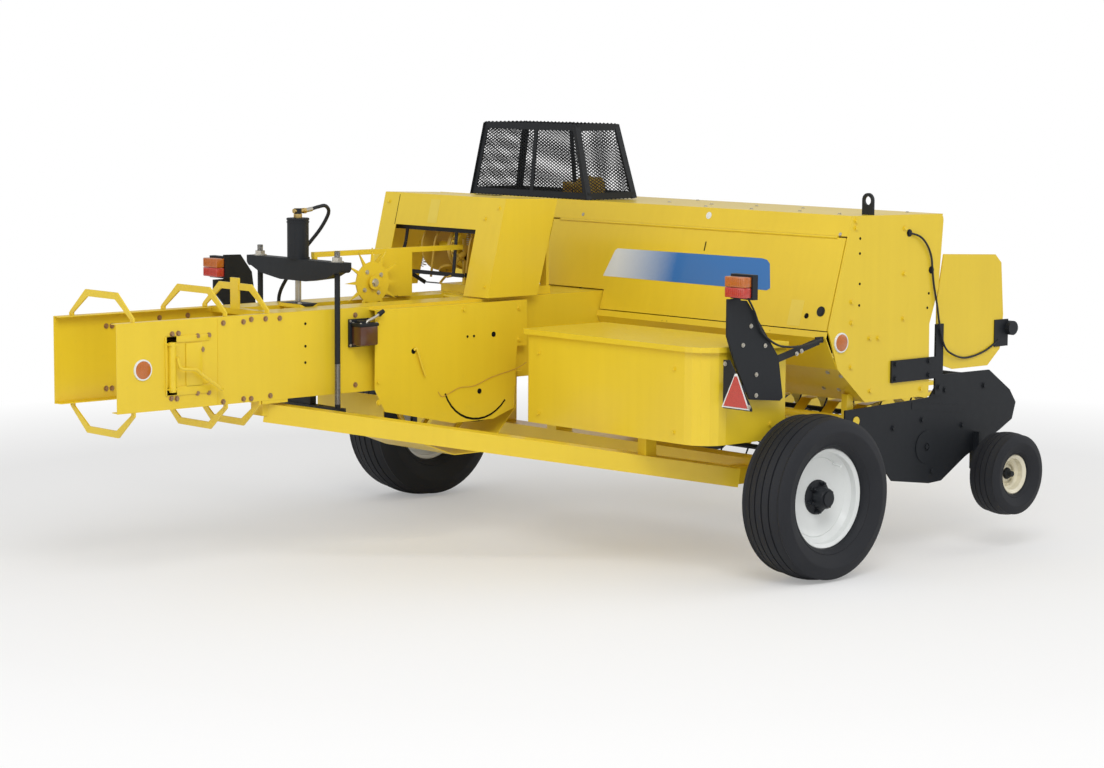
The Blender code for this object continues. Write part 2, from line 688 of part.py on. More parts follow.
def knotter_hood():
    outline = [(hood_x(HOOD_LOW, True), HOOD_LOW), (hood_x(HOOD_LOW, False), HOOD_LOW),
               (hood_x(HOOD_HIGH, False), HOOD_HIGH - 0.010), (hood_x(HOOD_HIGH, True), HOOD_HIGH)]
    shell = plate(outline, "XZ", HOOD_RIGHT, HOOD_LEFT)
    sheet = HOOD_SHEET
    top = HOOD_HIGH - sheet
    fall = 0.010 / (HOOD_FRONT_HIGH - HOOD_REAR_HIGH)
    hollow = [(hood_x(HOOD_LOW, True) + sheet - 0.1 * 0.245, HOOD_LOW - 0.1), (0.3, HOOD_LOW - 0.1),
              (0.3, top - 0.010 - fall * (0.3 - HOOD_FRONT_HIGH)),
              (hood_x(top, True) + sheet, top)]
    shell = cut(shell, plate(hollow, "XZ", HOOD_RIGHT + sheet, HOOD_LEFT - sheet))
    window = box((HOOD_REAR_LOW - 0.1, WINDOW_RIGHT, HOOD_LOW - 0.1),
                 (HOOD_REAR_HIGH + 0.1, WINDOW_LEFT, WINDOW_HIGH))
    barrel = rod((HOOD_FRONT_HIGH, HOOD_RIGHT + 0.030, HOOD_HIGH - 0.018),
                 (HOOD_FRONT_HIGH, HOOD_LEFT - 0.030, HOOD_HIGH - 0.018),
                 HINGE_RADIUS, 16)
    hood = keep(joined(cut(shell, window), barrel), "knotter_hood", "yellow_paint")
    carry(hinge("knotter_hood_axis", (HOOD_FRONT_HIGH, 0, HOOD_HIGH - 0.018)), hood)


def knotter_stack():
    """Knotter shaft with its two discs and frames, on the chamber cover."""
    floor = CHAMBER_HIGH + SEAT
    stack = rod((KNOTTER_X, -0.190, KNOTTER_Z), (KNOTTER_X, 0.440, KNOTTER_Z), 0.020, 16)
    for y in (-0.105, 0.105):
        stack = joined(stack,
                       rod((KNOTTER_X, y - 0.022, KNOTTER_Z), (KNOTTER_X, y + 0.022, KNOTTER_Z), 0.095, 24),
                       box((KNOTTER_X - 0.070, y - 0.050, floor + 0.030),
                           (KNOTTER_X + 0.050, y - 0.030, KNOTTER_Z + 0.030)))
    rear = HOOD_FRONT_HIGH + HINGE_RADIUS + SEAT
    base = box((KNOTTER_X - 0.085, -0.200, floor), (rear + 0.016, 0.205, floor + 0.036))
    posts = [box((rear, y - 0.020, floor),
                 (rear + 0.016, y + 0.020, HOOD_HIGH - 0.010)) for y in (-0.170, 0.175)]
    keep(joined(stack, base, *posts), "knotter_stack", "yellow_paint")


# ---------------------------------------------------------------- feeder housing

def slope_x(z):
    """The rear face of the feeder housing leans forwards as it rises."""
    return SLOPE_LOW_X + (ROOF_REAR - SLOPE_LOW_X) * (z - DOOR_LOW) / (ROOF_Z - DOOR_LOW)


def feeder_housing():
    right = END_PLATE_Y + SEAT
    roof = [(ROOF_FRONT - 0.060, 1.120), (ROOF_FRONT, ROOF_Z - 0.009), (ROOF_REAR, ROOF_Z),
            (slope_x(DOOR_HIGH + 0.0064), DOOR_HIGH + 0.0064)]
    shell = folded_sheet(list(reversed(roof)), right, HOUSING_LEFT, SHEET)
    left = plate([(slope_x(1.10) + 0.010, 1.100), (ROOF_REAR + 0.003, ROOF_Z - SHEET / 2),
                  (ROOF_FRONT - 0.003, ROOF_Z - 0.009 - SHEET / 2),
                  (ROOF_FRONT - 0.068, 1.100)], "XZ", HOUSING_LEFT - 0.006, HOUSING_LEFT - 0.001)
    lean = (ROOF_REAR - SLOPE_LOW_X) / (ROOF_Z - DOOR_LOW)
    foot = CHAMBER_HIGH + 0.014
    rear = plate([(slope_x(foot), foot), (slope_x(1.440), 1.440),
                  (slope_x(1.440) + SHEET, 1.440 - SHEET * lean),
                  (slope_x(foot) + SHEET, foot)], "XZ", DOOR_LEFT + RUN, HOUSING_LEFT - 0.002)
    keep(joined(shell, left, rear), "feeder_roof", "yellow_paint")

    low_rear = slope_x(DOOR_LOW - 0.004)
    pan = [(low_rear, DOOR_LOW - 0.004), (low_rear - 0.010, DOOR_LOW - 0.030), (0.263, 0.839),
           (0.438, PAN_Z), (PAN_LIP, PAN_Z)]
    tray = folded_sheet(list(reversed(pan)), right, -CHAMBER_HALF - WALL - SEAT, SHEET)
    pivot = rod((PICKUP_PIVOT_X, PICKUP_RIGHT - 0.002, PICKUP_PIVOT_Z),
                (PICKUP_PIVOT_X, -0.240, PICKUP_PIVOT_Z), 0.020, 16)
    hangers = [box((PICKUP_PIVOT_X - 0.020, y - 0.015, PICKUP_PIVOT_Z),
                   (PICKUP_PIVOT_X + 0.020, y + 0.015, 0.722)) for y in (-1.560, -0.320)]
    keep(joined(tray, pivot, *hangers), "feeder_pan", "yellow_paint")

    outline = corners([(0.340, 1.482), (0.932, 1.473), (0.905, 1.152), (0.849, 0.998), (0.854, 0.686),
                       (0.438, 0.688), (0.263, 0.839), (0.200, 1.005)],
                      (0, 0.025, 0, 0, 0.030, 0, 0, 0), 3)
    keep(plate(outline, "XZ", END_PLATE_Y - END_PLATE_THICK, END_PLATE_Y), "feeder_end_plate",
         "yellow_paint")

    # Left drive cases: knotter chain and feeder drive, beside the chamber
    outer = CHAMBER_HALF + WALL + SEAT
    case = box((0.420, outer, 0.780), (0.800, outer + 0.180, 1.300))
    post = box((0.560, outer + 0.100, 1.200), (0.660, HOUSING_LEFT - 0.006 - SEAT, 1.240))
    chain = box((KNOTTER_X - 0.060, outer, 0.840), (0.430, outer + 0.060, 0.960))
    riser = box((KNOTTER_X - 0.060, outer, 0.850), (KNOTTER_X + 0.060, outer + 0.060, 1.075))
    keep(joined(case, post, chain, riser), "left_drive_case", "yellow_paint")


def feeder_door():
    """Rear panel, hung along its top edge."""
    top, low = DOOR_HIGH, DOOR_LOW
    lean = (ROOF_REAR - SLOPE_LOW_X) / (ROOF_Z - DOOR_LOW)
    outline = [(slope_x(top), top), (slope_x(top) + DOOR_THICK, top - DOOR_THICK * lean),
               (slope_x(low) + DOOR_THICK, low), (slope_x(low), low)]
    door = plate(outline, "XZ", END_PLATE_Y + RUN, DOOR_LEFT)
    over_chamber = box((slope_x(low) - 0.1, -CHAMBER_HALF - WALL - RUN, low - 0.1),
                       (slope_x(low) + 0.1, DOOR_LEFT + 0.1, CHAMBER_HIGH + RUN))
    door = cut(door, over_chamber)
    barrel = rod((slope_x(top), END_PLATE_Y + 0.05, top), (slope_x(top), DOOR_LEFT - 0.05, top), 0.006, 12)
    door = keep(joined(door, barrel), "feeder_door", "yellow_paint")
    carry(hinge("feeder_door_axis", (slope_x(top), 0, top)), door)


def feed_auger():
    auger = joined(rod((AUGER_X, END_PLATE_Y + RUN, AUGER_Z), (AUGER_X, -0.300, AUGER_Z), 0.055, 16),
                   rod((AUGER_X, END_PLATE_Y + SEAT, AUGER_Z), (AUGER_X, -0.290, AUGER_Z), 0.020, 16))
    for index in range(5):
        y = -1.45 + 0.25 * index
        for side in (0, 1):
            angle = math.radians(70 * index + 180 * side)
            reach = Vector((math.cos(angle), 0, math.sin(angle))) * (AUGER_RADIUS + 0.040)
            middle = Vector((AUGER_X, y, AUGER_Z))
            auger = joined(auger, rod(middle, middle + reach, 0.012, 8, 0.007))
    auger = keep(auger, "feed_rotor", "black_paint")
    carry(hinge("feed_rotor_axis", (AUGER_X, 0, AUGER_Z)), auger)


def mesh_guard():
    """Four leaning walls of mesh in a flat frame, above the feeder drive."""
    low, high = ROOF_Z + SEAT, ROOF_Z + 0.350
    base = ((0.350, 0.005), (0.650, 0.005), (0.650, 0.830), (0.350, 0.830))
    top = ((0.340, 0.080), (0.600, 0.080), (0.600, 0.720), (0.340, 0.720))

    def prism(lower, upper, z_low, z_high):
        bm = bmesh.new()
        down = [bm.verts.new((x, y, z_low)) for x, y in lower]
        up = [bm.verts.new((x, y, z_high)) for x, y in upper]
        bm.faces.new(list(reversed(down)))
        bm.faces.new(up)
        for one in range(4):
            two = (one + 1) % 4
            bm.faces.new((down[one], down[two], up[two], up[one]))
        return mesh_object("prism", bm)

    def inset(ring, wall):
        centre = [sum(p[k] for p in ring) / 4 for k in (0, 1)]
        return [tuple(c + math.copysign(abs(v - c) - wall, v - c) for v, c in zip(p, centre)) for p in ring]

    wall = 0.006
    shell = prism(base, top, low, high)
    hollow = prism(inset(base, wall), inset(top, wall), low - 0.0001, high + 0.0001)
    keep(cut(shell, hollow), "mesh_guard", "black_paint")


def lifting_eye():
    x, y = 0.500, -1.570
    low = ROOF_Z - 0.009 * (x - ROOF_REAR) / (ROOF_FRONT - ROOF_REAR) + SEAT
    outline = [(y - 0.030, low), (y + 0.030, low)]
    for step in range(13):
        angle = math.pi * step / 12
        outline.append((y + 0.030 * math.cos(angle), low + 0.062 + 0.030 * math.sin(angle)))
    ring = plate(outline, "YZ", x - 0.006, x + 0.006)
    hole = rod((x - 0.05, y, low + 0.060), (x + 0.05, y, low + 0.060), 0.019, 16)
    keep(cut(ring, hole), "lifting_eye", "black_paint")


def right_end_fittings():
    """Post, bracket, front side shield and the lamp at its front edge."""
    outer = END_PLATE_Y - END_PLATE_THICK - SEAT
    inner = END_PLATE_Y + SEAT
    post = box((0.885, outer - 0.010, 0.690), (0.935, outer, 0.996))
    arm = box((0.597, outer - 0.010, 0.760), (0.890, outer, 0.855))
    spacer = box((0.908, outer - 0.002, 0.860), (0.933, inner - SEAT, 0.980))
    keep(joined(post, arm, spacer), "corner_bracket", "black_paint")
    shield = plate([(0.906, 0.850), (0.906, 1.100), (0.945, 1.297), (1.300, 1.281), (1.342, 1.243),
                    (1.363, 1.010), (1.345, 0.860), (1.260, 0.790), (1.020, 0.790), (0.950, 0.810)],
                   "XZ", inner, inner + 0.006)
    keep(shield, "front_side_shield", "yellow_paint")
    near = inner - SEAT
    plate_part = box((1.300, near - 0.004, 0.870), (1.395, near, 0.990))
    drum = rod((1.400, near - 0.030, 0.950), (1.400, near + 0.020, 0.950), 0.032, 16)
    keep(joined(plate_part, drum), "front_marker_lamp", "black_paint")


# ---------------------------------------------------------------- twine box and lamps

def rounded_box_outline(grow):
    rear, front = BOX_REAR - grow, BOX_FRONT
    right, left = BOX_RIGHT - grow, BOX_LEFT + grow
    return corners([(rear, right), (front, right), (front, left), (rear, left)],
                   (BOX_CORNER, 0, 0, 0.020), 5)


def twine_box():
    shell = plate(rounded_box_outline(0), "XY", BOX_LOW, BOX_HIGH)
    inner = corners([(BOX_REAR + SHEET, BOX_RIGHT + SHEET), (BOX_FRONT - SHEET, BOX_RIGHT + SHEET),
                     (BOX_FRONT - SHEET, BOX_LEFT - SHEET), (BOX_REAR + SHEET, BOX_LEFT - SHEET)],
                    (BOX_CORNER - SHEET, 0, 0, 0.016), 5)
    shell = cut(shell, plate(inner, "XY", BOX_LOW + SHEET, BOX_HIGH + 0.1))
    bearer = box((BOX_FRONT - 0.010, -1.300, BOX_LOW + 0.060),
                 (SLOPE_LOW_X + 0.010, -0.700, BOX_LOW + 0.100))
    keep(joined(shell, bearer), "twine_box", "yellow_paint")
    lid = plate(rounded_box_outline(LID_OVERHANG), "XY", BOX_HIGH + SEAT, BOX_HIGH + SEAT + LID_THICK)
    lid = keep(lid, "twine_box_lid", "yellow_paint")
    carry(hinge("twine_box_lid_axis", (BOX_FRONT, 0, BOX_HIGH + SEAT + LID_THICK)), lid)


def lamp_unit(x, inner, outward, low, outline):
    """A two-colour lamp that faces the rear, on the black housing at the head of its board."""
    ends = sorted((inner, inner + outward * LAMP_WIDTH))
    lens = box((x - LAMP_DEPTH, ends[0] + 0.006, low), (x - SEAT, ends[1] - 0.006, low + LAMP_HEIGHT))
    housing = box((x, ends[0], low - 0.008), (x + 0.030, ends[1], low + LAMP_HEIGHT + 0.008))
    thick = sorted((inner + outward * 0.012, inner + outward * 0.022))
    return lens, joined(plate(outline, "XZ", *thick), housing)


def lamps():
    """Road lamps on folded boards: the right one braces back to the feeder housing."""
    inner = BOX_RIGHT - 0.034
    outline = [(-0.435, 1.026), (-0.435, 1.175), (-0.394, 1.175), (-0.394, 1.200), (-0.372, 1.200),
               (-0.360, 1.167), (-0.325, 1.164), (-0.239, 1.060), (-0.134, 0.924),
               (-0.105, 0.754), (-0.123, 0.742), (-0.299, 0.760), (-0.379, 0.895)]
    lens, board = lamp_unit(-0.398, inner, -1, 1.184, outline)
    keep(lens, "right_lamp", "amber_lens")
    out = inner - 0.022
    foot = box((-0.200, out + 0.002, 0.765), (-0.120, BOX_RIGHT - SEAT, 0.800))
    reflector = plate([(inner, 0.735), (inner, 0.930), (inner - 0.034, 0.932), (-1.794, 0.745),
                       (-1.794, 0.735)],
                      "YZ", REFLECTOR_X, REFLECTOR_X + 0.004)
    arm = box((REFLECTOR_X + 0.002, out + 0.001, 0.792), (-0.300, out + 0.009, 0.822))
    link = bar((-0.145, out + 0.005, 0.912), (0.165, END_PLATE_Y + 0.014, 0.966), 0.005, 0.030)
    tab = box((0.145, END_PLATE_Y + 0.010, 0.958), (0.188, END_PLATE_Y + 0.019, 0.983))
    keep(joined(board, foot, reflector, arm, link, tab), "right_lamp_bracket", "black_paint")
    arm_y = 0.985
    outline = [(-1.055, 1.070), (-1.055, 1.121), (-0.996, 1.122), (-0.996, 1.232), (-0.904, 1.230),
               (-0.841, 1.148),
               (-0.820, 1.000), (-0.800, 0.860), (-0.900, 0.860), (-0.960, 0.960)]
    lens, board = lamp_unit(-1.000, arm_y, 1, 1.132, outline)
    keep(lens, "left_lamp", "amber_lens")
    outer = CHAMBER_HALF + WALL + SEAT
    arm = bar((-0.860, outer, 0.900), (-0.860, arm_y + 0.016, 0.900), 0.050, 0.050)
    keep(joined(board, arm), "left_lamp_bracket", "black_paint")


# ---------------------------------------------------------------- wheels and axle

def tyre_profile(radius, width, rim):
    """Half a tyre's section mirrored: (radius, along), from the bead round the tread and back."""
    half = width / 2
    side = [(rim, half * 0.60), (rim + 0.012, half * 0.70), (rim + (radius - rim) * 0.45, half),
            (radius - 0.045, half * 0.985),
            (radius - 0.014, half * 0.86), (radius, half * 0.60)]
    return side + [(r, -a) for r, a in reversed(side)]


def wheel(name, spec):
    tyre = turned(tyre_profile(spec["radius"], spec["width"], spec["rim"]),
                  (spec["x"], spec["y"], spec["radius"]))
    keep(tyre, name + "_tyre", "tyre_rubber")
    half, rim = spec["width"] / 2 * 0.60, spec["rim"] - SEAT
    outward = 1 if spec["y"] > 0 else -1
    dish = half * 0.15
    section = [(rim, -half), (rim, half), (rim - 0.012, half), (rim - 0.030, half - 0.020),
               (rim - 0.032, dish + 0.020), (0.085, dish + 0.010), (0.045, dish + 0.034),
               (0.045, dish + 0.070), (SPINDLE_RADIUS + 0.001, dish + 0.070),
               (SPINDLE_RADIUS + 0.001, dish - 0.060), (0.075, dish - 0.060), (0.078, dish),
               (rim - 0.036, dish + 0.008), (rim - 0.030, -half + 0.020), (rim - 0.012, -half)]
    section = [(r, a * outward) for r, a in section]
    keep(turned(section, (spec["x"], spec["y"], spec["radius"])), name + "_rim", "white_rim")
    carry(hinge(name + "_axis", (spec["x"], spec["y"], spec["radius"])),
          bpy.data.objects[name + "_tyre"], bpy.data.objects[name + "_rim"])


def spindle_end(spec):
    """How far out the spindle reaches: to the hub's outer face."""
    outward = 1 if spec["y"] > 0 else -1
    half = spec["width"] / 2 * 0.60
    return spec["y"] + outward * (half * 0.15 + 0.066)


def axles():
    low, high = AXLE_Z - AXLE_SIDE / 2, AXLE_Z + AXLE_SIDE / 2
    right_end, left_end = -1.560, 0.760
    beam = box((-AXLE_SIDE / 2, right_end, low), (AXLE_SIDE / 2, left_end, high))
    saddles = [box((-0.050, y - 0.030, high - 0.002),
                   (0.050, y + 0.030, CHAMBER_LOW - SEAT)) for y in (-0.190, 0.190)]
    keep(joined(beam, *saddles), "axle_beam", "yellow_paint")
    right, left = RIGHT_WHEEL, LEFT_WHEEL
    knuckle = box((-0.045, right_end - 0.020 - SEAT, right["radius"] - 0.045),
                  (0.045, right_end - SEAT, high))
    spindle = rod((0, right_end - 0.010, right["radius"]), (0, spindle_end(right), right["radius"]),
                  SPINDLE_RADIUS, 20)
    keep(joined(knuckle, spindle), "right_spindle", "black_paint")
    knuckle = box((-0.045, left_end + SEAT, left["radius"] - 0.045),
                  (left["x"] + 0.045, left_end + 0.040 + SEAT, high))
    spindle = rod((left["x"], left_end + 0.010, left["radius"]),
                  (left["x"], spindle_end(left), left["radius"]), SPINDLE_RADIUS, 20)
    keep(joined(knuckle, spindle), "left_spindle", "black_paint")


def diagonal_brace():
    """Square tube from the right end of the axle up to the chamber's underside."""
    start = Vector((-0.095, -1.400, 0.395))
    end = Vector((-1.620, -0.150, 0.672))
    tube_ = bar(start, end, BRACE_SIDE, BRACE_SIDE)
    plate_ = box((-1.690, -CHAMBER_HALF - WALL, CHAMBER_LOW - 0.014), (-1.560, -0.100, CHAMBER_LOW - SEAT))
    lug = box((-1.660, -0.190, 0.660), (-1.580, -0.110, CHAMBER_LOW - 0.010))
    tail = box((-0.120, -1.430, 0.370), (-AXLE_SIDE / 2 - SEAT, -1.350, 0.440))
    hanger = box((-0.420, -1.180, 0.470), (-0.360, -1.130, BOX_LOW - SEAT))
    keep(joined(tube_, plate_, lug, tail, hanger), "diagonal_brace", "yellow_paint")


# ---------------------------------------------------------------- pickup

def pickup():
    outline = [(0.330, 0.560), (0.330, 0.660), (0.800, 0.672), (0.880, 0.676), (0.961, 0.770),
               (1.285, 0.768), (1.433, 0.669), (1.477, 0.609), (1.453, 0.535), (1.370, 0.494),
               (1.128, 0.393), (0.968, 0.301), (0.883, 0.297), (0.640, 0.330), (0.500, 0.480)]
    pieces = []
    for low in (PICKUP_RIGHT, PICKUP_LEFT - PLATE):
        side = plate(outline, "XZ", low, low + PLATE)
        side = cut(side, rod((PICKUP_PIVOT_X, low - 0.05, PICKUP_PIVOT_Z),
                             (PICKUP_PIVOT_X, low + 0.05, PICKUP_PIVOT_Z), 0.0205, 16))
        pieces.append(side)
    inner, outer = PICKUP_RIGHT + PLATE, PICKUP_LEFT - PLATE
    arm = bar((GAUGE_X, PICKUP_RIGHT - 0.007, GAUGE_Z), (GAUGE_X, PICKUP_RIGHT - 0.007, 0.500), 0.050,
              0.016)
    axle = rod((GAUGE_X, PICKUP_RIGHT - 0.001, GAUGE_Z), (GAUGE_X, GAUGE_Y - 0.035, GAUGE_Z), 0.012, 12)
    right_plate = keep(joined(pieces[0], arm, axle), "pickup_right_plate", "black_paint")
    left_plate = keep(pieces[1], "pickup_left_plate", "black_paint")
    rear_tube = box((0.470, inner + SEAT, 0.570), (0.520, outer - SEAT, 0.610))
    # Stripper bands curve over the reel between the tine rows
    bands = []
    count = 8
    for index in range(count):
        y = inner + 0.10 + (outer - inner - 0.20) * index / (count - 1)
        arc = [(0.500, 0.600), (0.560, 0.655), (0.700, 0.672)]
        for step in range(8):
            angle = math.radians(90 - 134 * step / 7)
            arc.append((REEL_X + 0.205 * math.cos(angle), REEL_Z + 0.212 * math.sin(angle)))
        band = folded_sheet(list(reversed(arc)), y - 0.030, y + 0.030, 0.004)
        bands.append(band)
    keep(joined(rear_tube, *bands), "pickup_strippers", "yellow_paint")

    # Windguard: a cross tube with long rods that press the crop down
    guard = rod((1.250, inner + SEAT, 0.730), (1.250, outer - SEAT, 0.730), 0.018, 12)
    for index in range(count):
        y = inner + 0.10 + (outer - inner - 0.20) * index / (count - 1)
        guard = joined(guard, tube([(1.250, y, 0.730), (1.150, y, 0.742), (0.900, y, 0.760)], 0.006, 1))
    keep(guard, "wind_guard", "black_paint")

    reel = joined(rod((REEL_X, inner + RUN, REEL_Z), (REEL_X, outer - RUN, REEL_Z), REEL_TUBE, 16),
                  rod((REEL_X, inner + SEAT, REEL_Z), (REEL_X, outer - SEAT, REEL_Z), 0.020, 16))
    rows = 4
    tines = 7
    for row in range(rows):
        angle = math.radians(232 + 90 * row)
        out = Vector((math.cos(angle), 0, math.sin(angle)))
        across = Vector((-out.z, 0, out.x))
        middle = Vector((REEL_X, 0, REEL_Z))
        bar_at = middle + out * 0.120
        bar_piece = rod(bar_at + Vector((0, inner + 0.02, 0)), bar_at + Vector((0, outer - 0.02, 0)),
                        0.012, 8)
        reel = joined(reel, bar_piece)
        for end in (inner + 0.03, (inner + outer) / 2, outer - 0.03):
            reel = joined(reel,
                          bar(middle + Vector((0, end, 0)), bar_at + Vector((0, end, 0)), 0.020, 0.012))
        for index in range(tines):
            y = inner + 0.185 + (outer - inner - 0.37) * index / (tines - 1) - 0.0
            root = bar_at + Vector((0, y, 0))
            tip = middle + out * TINE_TIP + across * 0.03 + Vector((0, y, 0))
            reel = joined(reel, rod(root, tip, TINE_RADIUS, 6))
    reel = keep(reel, "pickup_reel", "black_paint")

    half = GAUGE_WIDTH / 2
    section = [(GAUGE_RIM, half * 0.62), (GAUGE_RIM + 0.040, half), (GAUGE_RADIUS - 0.030, half * 0.96),
               (GAUGE_RADIUS - 0.008, half * 0.78),
               (GAUGE_RADIUS, half * 0.45)]
    section = section + [(r, -a) for r, a in reversed(section)]
    centre = (GAUGE_X, GAUGE_Y, GAUGE_Z)
    keep(turned(section, centre, segments=32), "gauge_tyre", "tyre_rubber")
    rim, edge = GAUGE_RIM - SEAT, half * 0.62
    section = [(rim, -edge), (rim, edge), (rim - 0.010, edge), (rim - 0.018, 0.016), (0.026, 0.010),
               (0.026, 0.030), (0.013, 0.030),
               (0.013, -0.040), (0.026, -0.040), (0.026, 0.000), (rim - 0.022, 0.004), (rim - 0.010, -edge)]
    section = [(r, -a) for r, a in section]
    keep(turned(section, centre, segments=32), "gauge_rim", "cream_rim")

    lift = hinge("pickup_axis", (PICKUP_PIVOT_X, 0, PICKUP_PIVOT_Z))
    carry(lift, *(bpy.data.objects[name] for name in ("pickup_right_plate", "pickup_left_plate",
                                                      "pickup_strippers", "wind_guard")))
    carry(hinge("pickup_reel_axis", (REEL_X, 0, REEL_Z)), reel)
    carry(hinge("gauge_wheel_axis", centre), bpy.data.objects["gauge_tyre"], bpy.data.objects["gauge_rim"])


# ---------------------------------------------------------------- drive and hitch

def drive():
    block = box((GEARBOX_REAR, -0.160, DRIVE_Z - 0.200), (GEARBOX_FRONT, 0.160, DRIVE_Z + 0.200))
    nose = rod((GEARBOX_FRONT - 0.010, 0, DRIVE_Z), (GEARBOX_FRONT + 0.060, 0, DRIVE_Z), 0.075, 20)
    seat = box((CHAMBER_FRONT + SEAT, -0.200, CHAMBER_LOW), (GEARBOX_REAR + 0.010, 0.200, CHAMBER_HIGH))
    keep(joined(block, nose, seat), "gearbox", "black_paint")
    hub_rear = GEARBOX_FRONT + 0.060 + SEAT - FLYWHEEL_X
    section = [(0, hub_rear), (0.045, hub_rear), (0.045, -0.012), (FLYWHEEL_RADIUS - 0.060, -0.012),
               (FLYWHEEL_RADIUS - 0.060, -FLYWHEEL_WIDTH / 2), (FLYWHEEL_RADIUS, -FLYWHEEL_WIDTH / 2),
               (FLYWHEEL_RADIUS, FLYWHEEL_WIDTH / 2), (FLYWHEEL_RADIUS - 0.060, FLYWHEEL_WIDTH / 2),
               (FLYWHEEL_RADIUS - 0.060, 0.012), (0.045, 0.012), (0.045, 0.080), (0.020, 0.080),
               (0.020, 0.220), (0, 0.220)]
    flywheel = turned(list(reversed(section)), (FLYWHEEL_X, 0, DRIVE_Z), "X", 40)
    flywheel = keep(flywheel, "flywheel", "black_paint")
    carry(hinge("flywheel_axis", (FLYWHEEL_X, 0, DRIVE_Z)), flywheel)
    rear, front = GEARBOX_FRONT + 0.060 + SEAT, FLYWHEEL_X + 0.080
    wall = 0.005
    section = [(0.070, rear - FLYWHEEL_X), (GUARD_RADIUS, rear - FLYWHEEL_X),
               (GUARD_RADIUS, front - FLYWHEEL_X), (GUARD_RADIUS - wall, front - FLYWHEEL_X),
               (GUARD_RADIUS - wall, rear - FLYWHEEL_X + wall), (0.070, rear - FLYWHEEL_X + wall)]
    keep(turned(list(reversed(section)), (FLYWHEEL_X, 0, DRIVE_Z), "X", 40), "flywheel_guard",
         "yellow_paint")


def hitch():
    """Subframe under the chamber's front with the drawbar's pivot, the tongue and its jack."""
    half = TONGUE_SIDE / 2
    top, bottom = HITCH_Z + half, HITCH_Z - half
    upper = box((0.980, -0.215, top + RUN), (1.250, 0.215, top + RUN + 0.030))
    lower = box((0.980, -0.150, bottom - RUN - 0.020), (1.220, 0.150, bottom - RUN))
    back = box((0.980, -0.150, bottom - RUN - 0.020), (1.010, 0.150, top + RUN + 0.010))
    walls = [box((0.980, y - 0.010, top + RUN + 0.020),
                 (1.250, y + 0.010, CHAMBER_LOW - SEAT)) for y in (-0.200, 0.200)]
    keep(joined(upper, lower, back, *walls), "drawbar_mount", "yellow_paint")

    beam = box((HITCH_PIVOT_X - 0.080, -half, bottom), (TONGUE_FRONT, half, top))
    boss = rod((HITCH_PIVOT_X, 0, bottom - RUN + SEAT), (HITCH_PIVOT_X, 0, top + RUN - SEAT), 0.055, 20)
    bracket = box((JACK_X - 0.050, half - 0.005, HITCH_Z - 0.040),
                  (JACK_X + 0.050, JACK_Y - 0.035 - SEAT, HITCH_Z + 0.040))
    plates = [box((TONGUE_FRONT - 0.060, -0.040, z),
                  (HITCH_FRONT, 0.040, z + 0.020)) for z in (HITCH_Z + 0.018, HITCH_Z - 0.038)]
    tongue = joined(beam, boss, bracket, *plates)
    pin = rod((HITCH_FRONT - 0.040, 0, HITCH_Z - 0.1), (HITCH_FRONT - 0.040, 0, HITCH_Z + 0.1), 0.016, 16)
    keep(cut(tongue, pin), "drawbar", "yellow_paint")

    def on_jack(z):
        return (JACK_X, JACK_Y, z)

    housing = rod(on_jack(JACK_LOW), on_jack(JACK_HIGH), JACK_TUBE + JACK_FIT + 0.007, 16)
    crank = rod(on_jack(JACK_HIGH - 0.010), on_jack(JACK_HIGH + 0.050), 0.014, 10)
    knee = Vector(on_jack(JACK_HIGH + 0.040))
    handle = rod(knee, knee - Vector((0.120, 0, 0)), 0.008, 8)
    bore = rod(on_jack(JACK_LOW - 0.010), on_jack(JACK_HIGH - 0.040), JACK_TUBE + JACK_FIT, 16)
    keep(cut(joined(housing, crank, handle), bore), "jack_housing", "black_paint")
    inner_tube = rod(on_jack(0.005), on_jack(JACK_LOW + 0.040), JACK_TUBE, 16)
    foot = rod(on_jack(0), on_jack(0.012), JACK_FOOT, 24)
    keep(joined(inner_tube, foot), "jack_foot", "black_paint")
    swing = hinge("drawbar_axis", (HITCH_PIVOT_X, 0, HITCH_Z))
    carry(swing, *(bpy.data.objects[name] for name in ("drawbar", "jack_housing")))
    carry(hinge("jack_axis", on_jack(JACK_LOW)), bpy.data.objects["jack_foot"])


clear_scene()
PARTS = bpy.data.collections.new("square_baler")
bpy.context.scene.collection.children.link(PARTS)

chamber_walls()
chamber_floor_and_cover()
rails()
density_gear()
metering_gear()
side_shield()
oil_reservoir()
needle_guard()
knotter_hood()
knotter_stack()
feeder_housing()
feeder_door()
feed_auger()
mesh_guard()
lifting_eye()
right_end_fittings()
twine_box()
lamps()
wheel("right", RIGHT_WHEEL)
wheel("left", LEFT_WHEEL)
axles()
diagonal_brace()
pickup()
drive()
hitch()

stand = hinge("machine", (0, 0, 0))
for piece in list(PARTS.objects):
    if piece is not stand and piece.parent is None:
        piece.parent = stand
stand.location = -MIDDLE
for piece in PARTS.objects:
    if piece.type == "MESH":
        piece.data.shade_smooth()
        piece.data.set_sharp_from_angle(angle=math.radians(35))
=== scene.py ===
"""The looks of a square baler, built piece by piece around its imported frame, in metres."""
import json
import math

import bmesh
import bpy
from mathutils import Matrix, Vector

